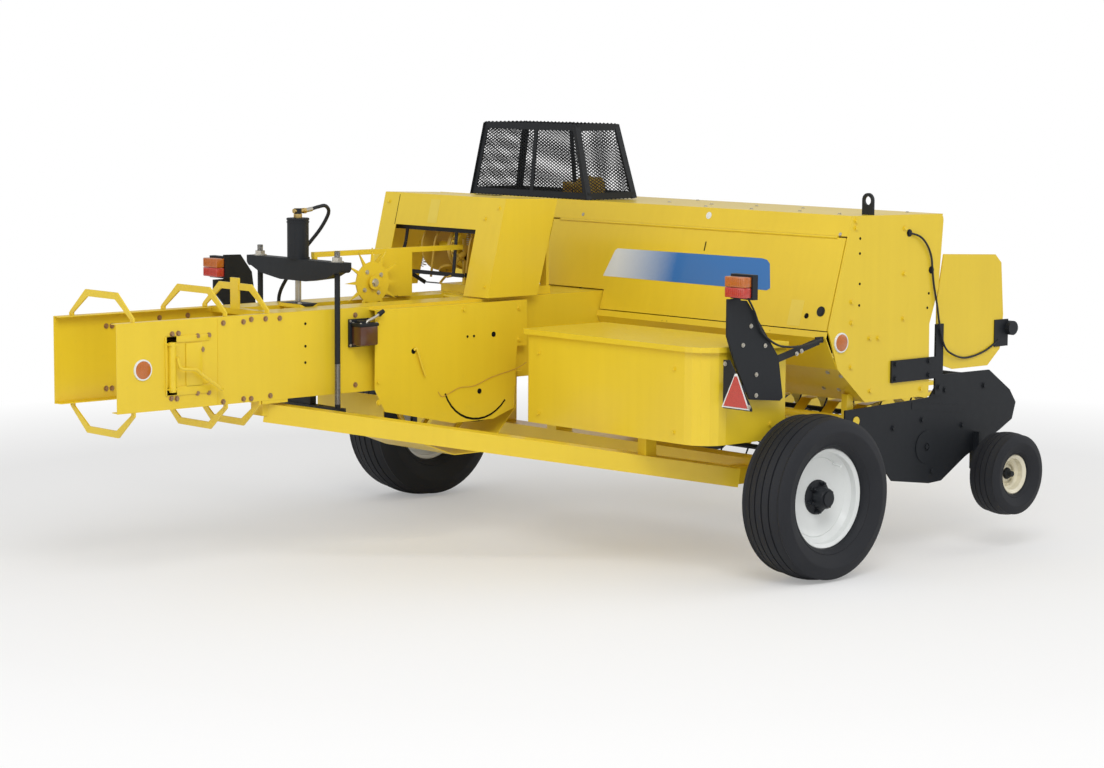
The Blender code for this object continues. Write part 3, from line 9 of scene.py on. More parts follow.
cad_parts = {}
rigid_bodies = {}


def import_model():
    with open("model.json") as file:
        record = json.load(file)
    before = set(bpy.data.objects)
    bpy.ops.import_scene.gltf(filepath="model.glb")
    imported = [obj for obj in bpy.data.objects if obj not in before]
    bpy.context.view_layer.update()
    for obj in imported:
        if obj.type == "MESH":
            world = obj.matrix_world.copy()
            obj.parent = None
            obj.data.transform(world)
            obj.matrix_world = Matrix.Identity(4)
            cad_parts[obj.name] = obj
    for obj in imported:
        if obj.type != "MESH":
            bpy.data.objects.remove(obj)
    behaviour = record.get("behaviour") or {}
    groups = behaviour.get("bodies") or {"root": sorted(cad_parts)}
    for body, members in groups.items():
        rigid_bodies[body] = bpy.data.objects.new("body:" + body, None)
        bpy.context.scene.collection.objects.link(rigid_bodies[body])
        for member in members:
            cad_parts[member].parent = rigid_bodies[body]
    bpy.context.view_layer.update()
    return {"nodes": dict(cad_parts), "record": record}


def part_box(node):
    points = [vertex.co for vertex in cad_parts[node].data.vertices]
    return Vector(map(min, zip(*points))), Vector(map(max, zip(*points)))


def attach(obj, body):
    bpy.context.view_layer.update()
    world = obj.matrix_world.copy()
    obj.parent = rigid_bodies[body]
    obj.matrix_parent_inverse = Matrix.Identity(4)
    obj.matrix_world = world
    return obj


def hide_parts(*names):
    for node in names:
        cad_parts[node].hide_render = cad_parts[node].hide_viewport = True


for old in list(bpy.data.objects):
    bpy.data.objects.remove(old, do_unlink=True)
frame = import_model()

# ------------------------------------------------------------------ machine's own axes
# The machine is laid out forwards from its right wheel's axle and sideways from the middle
# of its bale chamber. Both lines are read from the frame, so every section can use them.
wheel_low, wheel_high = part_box("right_rim")
floor_low, floor_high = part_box("chamber_floor")
axle_line = (wheel_low.x + wheel_high.x) / 2
chamber_line = (floor_low.y + floor_high.y) / 2
REAR, RIGHT, LEFT, UP, FRONT = ((-1, 0, 0), (0, -1, 0), (0, 1, 0), (0, 0, 1), (1, 0, 0))


def at(forward, left, up):
    return Vector((axle_line + forward, chamber_line + left, up))


# ------------------------------------------------------------------ camera
# Seen from behind and to the right, a little above the height of the machine.
look_yaw, look_pitch, look_roll = math.radians(47.639), math.radians(6.592), math.radians(-0.334)
ahead = Vector((math.cos(look_yaw) * math.cos(look_pitch), math.sin(look_yaw) * math.cos(look_pitch),
                -math.sin(look_pitch)))
level = Vector((math.sin(look_yaw), -math.cos(look_yaw), 0))
below = ahead.cross(level)
across = math.cos(look_roll) * level + math.sin(look_roll) * below
down = -math.sin(look_roll) * level + math.cos(look_roll) * below
camera_data = bpy.data.cameras.new("camera")
camera_data.sensor_width = 36
camera_data.lens = 90.78
camera_data.clip_end = 200
camera = bpy.data.objects.new("camera", camera_data)
bpy.context.scene.collection.objects.link(camera)
turn = Matrix((across, -down, -ahead)).transposed().to_4x4()
camera.matrix_world = Matrix.Translation(at(-8.440, -9.392, 2.114)) @ turn
bpy.context.scene.camera = camera


# ------------------------------------------------------------------ painted sheet and frame
# Folded and welded steel sheet, sprayed with yellow enamel, with black enamel on the
# brackets and running gear and white or cream enamel on the wheels' discs.
class Value:
    """A number that varies over a surface; arithmetic on it adds Math nodes."""

    def __init__(self, tree, socket):
        self.tree = tree
        self.socket = socket

    def maths(self, operation, one, two=None):
        made = self.tree.nodes.new("ShaderNodeMath")
        made.operation = operation
        for place, given in enumerate((one, two)):
            if isinstance(given, Value):
                self.tree.links.new(given.socket, made.inputs[place])
            elif given is not None:
                made.inputs[place].default_value = given
        return Value(self.tree, made.outputs[0])

    def __add__(self, other):
        return self.maths("ADD", self, other)

    __radd__ = __add__

    def __sub__(self, other):
        return self.maths("SUBTRACT", self, other)

    def __rsub__(self, other):
        return self.maths("SUBTRACT", other, self)

    def __mul__(self, other):
        return self.maths("MULTIPLY", self, other)

    __rmul__ = __mul__

    def clamped(self):
        return self.maths("MINIMUM", self.maths("MAXIMUM", self, 0.0), 1.0)


class Finish:
    """A material under construction."""

    def __init__(self, name):
        self.material = bpy.data.materials.new(name)
        self.material.use_nodes = True
        self.tree = self.material.node_tree
        self.shader = self.tree.nodes["Principled BSDF"]

    def node(self, kind, settings=None, **inputs):
        made = self.tree.nodes.new(kind)
        for key, value in (settings or {}).items():
            setattr(made, key, value)
        for key, value in inputs.items():
            self.feed(made.inputs[key.replace("_", " ")], value)
        return made

    def feed(self, socket, value):
        if isinstance(value, Value):
            self.tree.links.new(value.socket, socket)
        elif isinstance(value, bpy.types.NodeSocket):
            self.tree.links.new(value, socket)
        elif isinstance(value, tuple) and len(value) == 3 and socket.type == "RGBA":
            socket.default_value = (*value, 1)
        else:
            socket.default_value = value

    def where(self, scale=(1, 1, 1)):
        found = self.node("ShaderNodeTexCoord").outputs["Object"]
        return self.node("ShaderNodeMapping", Vector=found, Scale=scale).outputs[0]

    def noise(self, scale, detail=3.0, rough=0.5, stretch=(1, 1, 1)):
        made = self.node("ShaderNodeTexNoise", Vector=self.where(stretch), Scale=scale, Detail=detail,
                         Roughness=rough)
        return Value(self.tree, made.outputs[0])

    def blend(self, share, one, two):
        mix = self.node("ShaderNodeMix", {"data_type": "RGBA"})
        self.feed(mix.inputs["Factor"], share)
        self.feed(mix.inputs[6], one)
        self.feed(mix.inputs[7], two)
        return mix.outputs[2]

    def bump(self, height, strength, distance):
        made = self.node("ShaderNodeBump", Strength=strength, Distance=distance, Height=height)
        self.feed(self.shader.inputs["Normal"], made.outputs[0])

    def set(self, **inputs):
        for key, value in inputs.items():
            self.feed(self.shader.inputs[key.replace("_", " ")], value)
        return self


def paint(name, colour, deep, dust_colour, rough=0.34, coat=0.2, specular=0.5):
    """Sprayed enamel: a slow drift of tone, faint run-down streaks, dust and orange peel."""
    finish = Finish(name)
    drift = (finish.noise(1.6, 2.0) - 0.5) * 1.5 + 0.45
    streak = (finish.noise(26.0, 3.0, 0.5, (1, 1, 0.06)) - 0.50) * 0.9
    dust = finish.noise(44.0, 5.0, 0.65)
    tone = finish.blend((drift * 0.7 + streak * 0.5).clamped(), colour, deep)
    tone = finish.blend(((dust - 0.60) * 2.6).clamped() * 0.45, tone, dust_colour)
    finish.set(Base_Color=tone, Coat_Weight=coat, Coat_Roughness=0.14, Specular_IOR_Level=specular,
               Roughness=(dust - 0.5) * 0.22 + rough)
    finish.bump(finish.noise(420.0, 2.0) * 0.7 + finish.noise(7.0, 1.0) * 1.2, 0.12, 0.0012)
    return finish.material


yellow = paint("yellow_enamel", (0.810, 0.585, 0.026), (0.700, 0.490, 0.018), (0.62, 0.44, 0.045))
black = paint("black_enamel", (0.0100, 0.0120, 0.0155), (0.0150, 0.0175, 0.0215), (0.030, 0.032, 0.035),
              0.50, 0.0, 0.30)
white = paint("white_enamel", (0.780, 0.800, 0.790), (0.700, 0.725, 0.715), (0.60, 0.60, 0.56), 0.32)
cream = paint("cream_enamel", (0.800, 0.750, 0.590), (0.700, 0.650, 0.490), (0.52, 0.47, 0.35), 0.34)
for part in frame["record"]["subparts"]:
    mesh = frame["nodes"][part["node"]].data
    mesh.materials.clear()
    mesh.materials.append({"black_paint": black, "white_rim": white, "cream_rim": cream}
                          .get(part["material_slot"], yellow))


# ------------------------------------------------------------------ ribbed tyres
# Implement tyres of black rubber with straight ribs round the tread, a rounded shoulder and
# raised rings on the side wall, seated on the rims by their beads.
def rubber(name, colour, rough):
    finish = Finish(name)
    fine = finish.noise(120.0, 5.0, 0.65)
    broad = finish.noise(6.0, 3.0)
    dusty = tuple(c * 1.9 + 0.006 for c in colour)
    finish.set(Base_Color=finish.blend((broad * 0.5 + fine * 0.4).clamped(), colour, dusty),
               Roughness=fine * 0.15 + rough, Specular_IOR_Level=0.32)
    finish.bump(fine, 0.20, 0.0008)
    return finish.material


tyre_rubber = rubber("tyre_rubber", (0.0095, 0.0105, 0.0135), 0.62)


def piece(name, bm, material, body, stands_for=(), smooth=35):
    bmesh.ops.remove_doubles(bm, verts=bm.verts, dist=0.00002)
    bmesh.ops.recalc_face_normals(bm, faces=bm.faces)
    made_mesh = bpy.data.meshes.new(name)
    bm.to_mesh(made_mesh)
    bm.free()
    made_mesh.materials.append(material)
    made_mesh.shade_smooth()
    made_mesh.set_sharp_from_angle(angle=math.radians(smooth))
    made = bpy.data.objects.new(name, made_mesh)
    bpy.context.scene.collection.objects.link(made)
    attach(made, body)
    if stands_for:
        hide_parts(*stands_for)
    return made


def add_turned(bm, profile, centre, axis, steps):
    """A closed run of (radius, along) pairs turned about an axis through the centre."""
    axis = Vector(axis).normalized()
    spin = Vector((0, 0, 1)).rotation_difference(axis).to_matrix()
    rings = []
    for step in range(steps):
        angle = math.tau * step / steps
        spoke = spin @ Vector((math.cos(angle), math.sin(angle), 0))
        rings.append([bm.verts.new(Vector(centre) + spoke * radius + axis * along)
                      for radius, along in profile])
    for one, two in zip(rings, rings[1:] + rings[:1]):
        for first in range(len(profile)):
            second = (first + 1) % len(profile)
            bm.faces.new((one[first], one[second], two[second], two[first]))


def tyre(name, cad, body, bead, ribs, groove):
    low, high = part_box(cad)
    centre = (low + high) / 2
    radius, half = (high.z - low.z) / 2, (high.y - low.y) / 2
    tall = radius - bead
    shape = ((0.00, 0.60), (0.03, 0.69), (0.10, 0.76), (0.13, 0.80), (0.16, 0.79), (0.34, 0.93),
             (0.50, 0.985),
             (0.53, 1.0), (0.57, 1.0), (0.60, 0.985), (0.74, 0.955), (0.84, 0.90), (0.92, 0.83))
    wall = [(bead + rise * tall, wide * half) for rise, wide in shape]
    tread = []
    flat = 0.74 * half
    pitch = 2 * flat / ribs
    gap = pitch * 0.16
    for rib in range(ribs):
        inner, outer = flat - pitch * rib, flat - pitch * (rib + 1)
        for along, deep in ((inner - gap * 0.2, 0), (outer + gap, 0), (outer + gap * 0.7, 1),
                            (outer + gap * 0.1, 1)):
            crown = radius - 0.088 * radius * (along / half) ** 2
            tread.append((crown - deep * groove * (rib < ribs - 1), along))
    bm = bmesh.new()
    add_turned(bm, wall + tread + [(r, -a) for r, a in reversed(wall)], centre, (0, 1, 0), 72)
    piece(name, bm, tyre_rubber, body, [cad], 40)


tyre("right_ribbed_tyre", "right_tyre", "right_wheel", 0.2085, 5, 0.011)
tyre("left_ribbed_tyre", "left_tyre", "left_wheel", 0.1980, 5, 0.012)
tyre("gauge_ribbed_tyre", "gauge_tyre", "gauge_wheel", 0.0875, 4, 0.005)


# ------------------------------------------------------------------ wheel rims and hubs
# Pressed disc wheels: a rolled flange, a drop centre and a dished disc, with a valve stem,
# and a black hub with a cap and wheel nuts on its studs.
def add_rod(bm, start, end, radius, sides=16, radius_end=None):
    start, end = Vector(start), Vector(end)
    run = end - start
    spin = Vector((0, 0, 1)).rotation_difference(run).to_matrix().to_4x4()
    bmesh.ops.create_cone(bm, cap_ends=True, segments=sides, radius1=radius,
                          radius2=radius if radius_end is None else radius_end, depth=run.length,
                          matrix=Matrix.Translation((start + end) / 2) @ spin)


def rim(name, cad, body, material, outward, hub_radius, nuts):
    low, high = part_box(cad)
    centre = (low + high) / 2
    radius = (high.z - low.z) / 2
    half = (0.36 if nuts else 0.44) * (high.y - low.y)
    section = [(radius, half), (radius, half - 0.005), (radius - 0.012, half - 0.010),
               (radius - 0.014, half - 0.030),
               (radius - 0.034, half - 0.046), (radius - 0.036, -half + 0.046),
               (radius - 0.014, -half + 0.030),
               (radius - 0.012, -half + 0.008), (radius, -half), (radius - 0.004, -half - 0.003),
               (radius - 0.018, -half + 0.004), (radius - 0.020, -half + 0.032),
               (radius - 0.041, -half + 0.050),
               (radius - 0.044, 0.0), (radius * 0.62, -0.014), (hub_radius * 1.05, -0.006),
               (hub_radius * 0.5, -0.004), (hub_radius * 0.5, 0.003), (hub_radius * 1.05, 0.001),
               (radius * 0.62, -0.007), (radius - 0.046, 0.008), (radius - 0.041, half - 0.050),
               (radius - 0.020, half - 0.030), (radius - 0.018, half - 0.006), (radius - 0.004, half + 0.003)]
    bm = bmesh.new()
    add_turned(bm, section, centre, (0, outward, 0), 56)
    outwards = Vector((0, outward, 0))
    if nuts:
        angle = math.radians(55)
        spoke = Vector((math.cos(angle), 0, math.sin(angle)))
        add_rod(bm, centre + spoke * (radius - 0.050) + outwards * 0.01,
                centre + spoke * (radius - 0.056) + outwards * 0.055, 0.005, 8)
    piece(name, bm, material, body, [cad])
    bm = bmesh.new()
    reach = 0.066 if nuts else 0.028
    profile = [(0.002, -0.02), (hub_radius * 0.98, -0.02), (hub_radius * 0.98, 0.006),
               (hub_radius * 0.80, 0.014),
               (hub_radius * 0.62, 0.016), (hub_radius * 0.58, reach - 0.008), (hub_radius * 0.50, reach),
               (0.002, reach + 0.002)]
    add_turned(bm, profile, centre, outwards, 28)
    for nut in range(nuts):
        angle = math.tau * nut / nuts + 0.3
        seat = centre + Vector((math.cos(angle), 0, math.sin(angle))) * hub_radius * 0.80
        add_rod(bm, seat + outwards * 0.010, seat + outwards * 0.028, 0.0105, 6)
        add_rod(bm, seat + outwards * 0.026, seat + outwards * 0.038, 0.006, 8)
    piece(name.replace("rim", "hub"), bm, black, body)


rim("right_dished_rim", "right_rim", "right_wheel", white, -1, 0.074, 6)
rim("left_dished_rim", "left_rim", "left_wheel", white, 1, 0.074, 6)
rim("gauge_dished_rim", "gauge_rim", "gauge_wheel", cream, -1, 0.026, 0)


# ------------------------------------------------------------------ bolts through the sheets
# Hexagon bolts with washers hold the sheets to the frame: painted over on the panels, bright
# zinc where they were fitted afterwards. Open punched holes are dark rounds of painted shade.
def bare_metal(name, colour, rough=0.34):
    finish = Finish(name)
    grain = finish.noise(160.0, 4.0, 0.6)
    finish.set(Base_Color=finish.blend(grain, colour, tuple(c * 0.7 for c in colour)), Metallic=1.0,
               Roughness=grain * 0.2 + rough)
    finish.bump(grain, 0.08, 0.0006)
    return finish.material


zinc = bare_metal("zinc_plate", (0.66, 0.63, 0.56), 0.36)
worn_zinc = bare_metal("worn_zinc", (0.52, 0.34, 0.20), 0.42)
# Near-black discs and strips: painted shade in open holes, slots and seams; the door plugs are black in it
# too.
hole_shade_and_plug_black = Finish("open_hole").set(Base_Color=(0.008, 0.008, 0.008), Roughness=0.9,
                                    Specular_IOR_Level=0.1).material


def new_tree(name, sockets):
    tree = bpy.data.node_groups.new(name, "GeometryNodeTree")
    for label, kind in sockets:
        tree.interface.new_socket(label, in_out="INPUT", socket_type="NodeSocket" + kind)
    tree.interface.new_socket("Result", in_out="OUTPUT", socket_type="NodeSocketGeometry")
    return tree


def ended(tree, geometry, finish):
    """Every tree ends in real meshes with their material."""
    real = tree.nodes.new("GeometryNodeRealizeInstances")
    coated = tree.nodes.new("GeometryNodeSetMaterial")
    tree.links.new(geometry, real.inputs[0])
    tree.links.new(real.outputs[0], coated.inputs["Geometry"])
    tree.links.new(finish, coated.inputs["Material"])
    tree.links.new(coated.outputs[0], tree.nodes.new("NodeGroupOutput").inputs[0])


def fastener_tree():
    """A head on a washer at each point, standing along the point's facing vector."""
    tree = new_tree("fasteners", (("Places", "Geometry"), ("Sides", "Int"), ("Head radius", "Float"),
                                  ("Head height", "Float"), ("Washer radius", "Float"),
                                  ("Washer height", "Float"), ("Finish", "Material")))
    make, link = tree.nodes.new, tree.links.new
    given = make("NodeGroupInput").outputs
    solids = make("GeometryNodeJoinGeometry")
    for part_name in ("Washer", "Head"):
        drum = make("GeometryNodeMeshCylinder")
        drum.inputs["Vertices"].default_value = 14
        if part_name == "Head":
            link(given["Sides"], drum.inputs["Vertices"])
        link(given[part_name + " radius"], drum.inputs["Radius"])
        link(given[part_name + " height"], drum.inputs["Depth"])
        half = make("ShaderNodeMath")
        half.operation = "MULTIPLY"
        half.inputs[1].default_value = 0.5
        link(given[part_name + " height"], half.inputs[0])
        rise = make("ShaderNodeCombineXYZ")
        link(half.outputs[0], rise.inputs["Z"])
        seat = make("GeometryNodeTransform")
        link(drum.outputs["Mesh"], seat.inputs["Geometry"])
        link(rise.outputs[0], seat.inputs["Translation"])
        link(seat.outputs[0], solids.inputs[0])
    facing = make("GeometryNodeInputNamedAttribute")
    facing.data_type = "FLOAT_VECTOR"
    facing.inputs["Name"].default_value = "facing"
    stand = make("FunctionNodeAlignRotationToVector")
    stand.axis = "Z"
    link(facing.outputs["Attribute"], stand.inputs["Vector"])
    spread = make("GeometryNodeInstanceOnPoints")
    link(given["Places"], spread.inputs["Points"])
    link(solids.outputs[0], spread.inputs["Instance"])
    link(stand.outputs[0], spread.inputs["Rotation"])
    ended(tree, spread.outputs[0], given["Finish"])
    return tree


def grown(name, tree, places, edges, body, slot_name, facings=(), **inputs):
    """Run a tree on a mesh of points or lines and keep its result as a plain piece."""
    seed = bpy.data.meshes.new(name)
    seed.from_pydata(places, edges, [])
    if facings:
        facing = seed.attributes.new("facing", "FLOAT_VECTOR", "POINT")
        for entry, vector in zip(facing.data, facings):
            entry.vector = vector
    made = bpy.data.objects.new(name, seed)
    bpy.context.scene.collection.objects.link(made)
    rule = made.modifiers.new("rule", "NODES")
    rule.node_group = tree
    for item in tree.interface.items_tree:
        if item.in_out == "INPUT" and item.name.replace(" ", "_") in inputs:
            rule[item.identifier] = inputs[item.name.replace(" ", "_")]
    plain = bpy.data.meshes.new_from_object(made.evaluated_get(bpy.context.evaluated_depsgraph_get()))
    made.modifiers.remove(rule)
    made.data = plain
    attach(made, body)
    return made


fastening = fastener_tree()


def fasteners(name, spots, body, finish, slot_name, head, height, washer=0.0, thick=0.0016, sides=6):
    """Each spot is a place on the machine's own axes and the way its head faces."""
    grown(name, fastening, [at(*place) for place, facing in spots], [], body, slot_name,
          [facing for place, facing in spots], Sides=sides, Head_radius=head, Head_height=height,
          Washer_radius=max(washer, head * 0.5), Washer_height=thick, Finish=finish)


def on_wall(pairs, y, facing=RIGHT):
    return [((x, y, z), facing) for x, z in pairs]


SHIELD_Y = -0.270
WALL_Y = -0.2285
END_Y = -1.626
DOOR_NORMAL = (-0.9595, 0, 0.2816)


def on_door(y, z, proud=0.0):
    """A place on the sloping rear face of the feeder housing."""
    return (0.2 + (z - 1.005) * 0.2935 - proud, y, z + proud * 0.28)


wall_bolts = (
    on_wall(((-1.882, 1.061), (-1.782, 1.060), (-1.743, 1.068), (-1.671, 1.066), (-1.599, 1.064),
             (-1.885, 0.741), (-1.784, 0.745), (-1.746, 0.743), (-1.649, 0.748), (-2.131, 1.031),
             (-2.101, 1.032),
             (-2.008, 1.016), (-1.953, 1.016), (-2.138, 0.774), (-2.111, 0.771), (-2.011, 0.787),
             (-1.956, 0.785),
             (-1.986, 0.961), (-1.205, 1.055), (-1.205, 0.760)), WALL_Y)
    + on_wall(((-2.144, 1.031), (-2.116, 1.030), (-2.148, 0.774), (-2.120, 0.773), (-1.882, 1.050),
               (-1.740, 1.052)),
              0.2233))
fasteners("wall_bolts", wall_bolts, "frame", worn_zinc, "steel", 0.0082, 0.0075, 0.0115)
panel_bolts = (
    on_wall(((-1.113, 1.023), (-1.115, 0.769), (-1.114, 0.681), (-0.320, 1.040), (-0.320, 0.900),
             (-0.640, 1.050)),
            SHIELD_Y)
    + on_wall(((0.360, 1.461), (0.360, 1.431), (0.342, 1.121), (0.344, 1.033), (0.674, 1.419), (0.676, 1.225),
               (0.676, 1.032), (0.460, 0.961), (0.515, 0.958), (0.345, 0.845), (0.470, 0.735),
               (0.800, 0.720)), END_Y))
fasteners("panel_bolts", panel_bolts, "frame", yellow, "yellow_paint", 0.0090, 0.0080, 0.0130)

roof_screws = [((x, y, 1.4815 - 0.009 * (x - 0.34) / 0.592), UP) for x, y in (
    (0.365, 0.348), (0.400, 0.150), (0.580, -0.294), (0.601, -0.544), (0.673, -0.757), (0.708, -1.006),
    (0.406, -0.699), (0.416, -0.969), (0.460, -1.215), (0.420, -1.480), (0.860, -1.480), (0.860, -0.200))]
low_bolts = [((0.262 + (0.839 - z) * 1.17, y, z), (-0.76, 0, -0.64)) for y, z in (
    (-1.444, 0.739), (-1.552, 0.822), (-1.614, 0.810), (-1.531, 0.740))]
fasteners("roof_screws", roof_screws + low_bolts, "frame", zinc, "steel", 0.0065, 0.0055, 0.0100)

# Dark rounds of painted shade where punched holes are open.
punched = (
    on_wall(((-1.467, 1.034), (-1.467, 0.940), (-1.468, 0.872)), WALL_Y)
    + on_wall(((-0.619, 0.931), (-0.582, 0.931)), SHIELD_Y)
    + [((0.2010 - (1.001 - z) * 0.38, y, z), REAR) for y, z in (
        (0.153, 0.980), (0.099, 0.975), (0.001, 0.980), (-0.647, 0.977), (-0.677, 0.977), (-1.299, 0.982))]
    + on_wall(((0.389, 1.386), (0.389, 1.323), (0.391, 1.195), (0.390, 1.104), (0.841, 1.132),
               (0.833, 1.070)), END_Y))
fasteners("punched_holes", punched, "frame", hole_shade_and_plug_black, "black_paint", 0.0060, 0.0006, sides=12)
# Larger holes in the side shield, also dark rounds of painted shade.
fasteners("shield_holes", on_wall(((-0.469, 0.932), (-0.550, 0.688), (-0.922, 0.887)), SHIELD_Y), "frame",
          hole_shade_and_plug_black, "black_paint", 0.0120, 0.0006, sides=16)


# ------------------------------------------------------------------ chamber's rear end
# The chamber walls are folded inwards along their free edges. On the right wall a bolted
# spring bracket holds back the bales: a plate and two flanges round an upright tube, with a
# bent handle rod.
def add_box(bm, low, high, matrix=Matrix.Identity(4), edge=0.0):
    low, high = Vector(low), Vector(high)
    made = bmesh.ops.create_cube(bm, size=1.0, matrix=matrix @ Matrix.Translation((low + high) / 2)
                                 @ Matrix.Diagonal((*(high - low), 1)))
    if edge:
        edges = list({e for v in made["verts"] for e in v.link_edges})
        bmesh.ops.bevel(bm, geom=edges, offset=edge, segments=2, affect="EDGES", profile=0.5)


def add_prism(bm, outline, shift, edge=0.0):
    """A flat outline of 3-D points, given a thickness by a shift."""
    near = [bm.verts.new(Vector(p)) for p in outline]
    far = [bm.verts.new(Vector(p) + Vector(shift)) for p in outline]
    faces = [bm.faces.new(near), bm.faces.new(list(reversed(far)))]
    for one in range(len(near)):
        two = (one + 1) % len(near)
        faces.append(bm.faces.new((near[two], near[one], far[one], far[two])))
    if edge:
        edges = list({e for f in faces for e in f.edges})
        bmesh.ops.bevel(bm, geom=edges, offset=edge, segments=1, affect="EDGES")


def box_at(bm, low, high, edge=0.0):
    add_box(bm, at(*low), at(*high), edge=edge)


bm = bmesh.new()
for side in (-1, 1):
    for z_low, z_high in ((1.0815, 1.0850), (0.7300, 0.7335)):
        inner, outer = sorted((side * 0.186, side * 0.2233))
        box_at(bm, (-2.390, inner, z_low), (-1.640, outer, z_high), 0.001)
    inner, outer = sorted((side * 0.2195, side * 0.2233))
    box_at(bm, (-1.640, inner, 1.0600), (-1.460, outer, 1.0610))
piece("wall_lips", bm, yellow, "frame")

bm = bmesh.new()
for low, high in (((-2.067, 0.816), (-1.988, 0.991)), ((-2.161, 0.784), (-1.950, 0.820)),
                  ((-2.161, 0.996), (-1.950, 1.022)), ((-2.166, 0.786), (-2.112, 1.022))):
    box_at(bm, (low[0], WALL_Y - 0.0045, low[1]), (high[0], WALL_Y - 0.0003, high[1]), 0.0012)
add_rod(bm, at(-2.1415, WALL_Y - 0.017, 0.800), at(-2.1415, WALL_Y - 0.017, 1.000), 0.0145, 18)
for z in (0.812, 0.990):
    box_at(bm, (-2.160, WALL_Y - 0.030, z - 0.004), (-2.122, WALL_Y - 0.002, z + 0.004), 0.001)
box_at(bm, (-1.9115, WALL_Y - 0.0016, 0.736), (-1.9085, WALL_Y - 0.0001, 1.078))
piece("bale_spring_bracket", bm, yellow, "frame")


def bent_rod_tree():
    """A round rod along every line of the mesh."""
    tree = new_tree("bent_rods", (("Lines", "Geometry"), ("Sides", "Int"), ("Radius", "Float"),
                                  ("Finish", "Material")))
    make, link = tree.nodes.new, tree.links.new
    given = make("NodeGroupInput").outputs
    curve = make("GeometryNodeMeshToCurve")
    ring = make("GeometryNodeCurvePrimitiveCircle")
    sweep = make("GeometryNodeCurveToMesh")
    smooth = make("GeometryNodeSetShadeSmooth")
    sweep.inputs["Fill Caps"].default_value = True
    link(given["Lines"], curve.inputs["Mesh"])
    link(given["Sides"], ring.inputs["Resolution"])
    link(given["Radius"], ring.inputs["Radius"])
    link(curve.outputs[0], sweep.inputs["Curve"])
    link(ring.outputs[0], sweep.inputs["Profile Curve"])
    link(sweep.outputs[0], smooth.inputs[0])
    ended(tree, smooth.outputs[0], given["Finish"])
    return tree


bending = bent_rod_tree()


def rounded(points, steps=8):
    """A smooth route through points on the machine's own axes."""
    ends = [points[0]] + list(points) + [points[-1]]
    route = []
    for one, two, three, four in zip(ends, ends[1:], ends[2:], ends[3:]):
        a, b, c, d = (at(*p) for p in (one, two, three, four))
        for step in range(steps):
            t = step / steps
            route.append(0.5 * (2 * b + (c - a) * t + (2 * a - 5 * b + 4 * c - d) * t * t
                                + (3 * b - a - 3 * c + d) * t ** 3))
    return route + [at(*points[-1])]


def bent_rods(name, routes, radius, body, finish, slot_name, sides=12):
    places, edges = [], []
    for route in routes:
        first = len(places)
        places += route
        edges += [(n, n + 1) for n in range(first, len(places) - 1)]
    grown(name, bending, places, edges, body, slot_name, Sides=sides, Radius=radius, Finish=finish)


steel = bare_metal("ground_steel", (0.56, 0.54, 0.50))
bent_rods("bracket_handle", [rounded(((-2.128, -0.262, 0.940), (-2.113, -0.262, 0.897),
                                      (-2.076, -0.262, 0.889),
                                      (-2.039, -0.262, 0.884), (-2.016, -0.262, 0.867),
                                      (-1.966, -0.262, 0.832),
                                      (-1.919, -0.262, 0.800), (-1.906, -0.250, 0.796)))],
          0.0065, "frame", yellow, "yellow_paint")
bent_rods("shield_rod", [rounded(((-0.922, -0.274, 0.891), (-0.912, -0.280, 0.897), (-0.889, -0.282, 0.835),
                                  (-0.864, -0.280, 0.777)), 6)], 0.0050, "frame", yellow, "yellow_paint")

# A dark strip behind the side shield's arc slot: painted shadow in the gap
bm = bmesh.new()
turns = [math.radians(200 + 122 * step / 24) for step in range(25)]
add_prism(bm, [at(-0.557 + wide * math.cos(turn), -0.2665, 0.757 + tall * math.sin(turn))
               for wide, tall, way in ((0.212, 0.202, turns), (0.180, 0.172, turns[::-1])) for turn in way],
          (0, 0.0005, 0))
piece("slot_shadow", bm, hole_shade_and_plug_black, "frame")
twine = Finish("sisal_twine")
strand = twine.noise(500.0, 3.0)
twine.set(Base_Color=twine.blend(strand, (0.46, 0.22, 0.05), (0.60, 0.34, 0.09)), Roughness=0.9)
twine.bump(strand, 0.4, 0.0008)
bent_rods("twine_run", [rounded(((-0.788, -0.2735, 0.703), (-0.764, -0.2735, 0.680), (-0.715, -0.2735, 0.695),
                                 (-0.665, -0.2735, 0.712), (-0.582, -0.2735, 0.714), (-0.484, -0.2735, 0.744),
                                 (-0.342, -0.2735, 0.772), (-0.277, -0.2735, 0.797)), 6)],
          0.0012, "frame", twine.material, "yellow_paint", 6)


# ------------------------------------------------------------------ reflectors and plates
# Round amber reflectors in white rings, riveted on the wall and the end plate, a red
# warning triangle with a pale edge on the lamp board, and blank plates on hood and door.
def lens(name, colour):
    finish = Finish(name)
    cells = finish.node("ShaderNodeTexVoronoi", Vector=finish.where(), Scale=260.0)
    height = Value(finish.tree, cells.outputs["Distance"])
    finish.set(Base_Color=finish.blend((height * 0.8).clamped(), colour, tuple(c * 0.55 for c in colour)),
               Roughness=0.16, Coat_Weight=0.6, Coat_Roughness=0.05)
    finish.bump(height, 0.35, 0.0008)
    return finish.material


amber = lens("amber_lens", (0.60, 0.16, 0.020))
red = lens("red_lens", (0.60, 0.050, 0.032))
for place_name, place in (("wall", (-2.273, WALL_Y, 0.897)), ("end_plate", (0.278, END_Y, 0.953))):
    for ring_name, material, slot_name, profile in (
            ("reflector_ring", white, "white_rim",
             [(0.036, 0.0), (0.0425, 0.0), (0.0425, 0.005), (0.0405, 0.007), (0.036, 0.007)]),
            ("reflector", amber, "amber_lens",
             [(0.0004, 0.0), (0.0362, 0.0), (0.0362, 0.0060), (0.030, 0.0085), (0.0004, 0.0095)])):
        bm = bmesh.new()
        add_turned(bm, profile, at(*place), RIGHT, 40)
        piece(f"{place_name}_{ring_name}", bm, material, "frame")

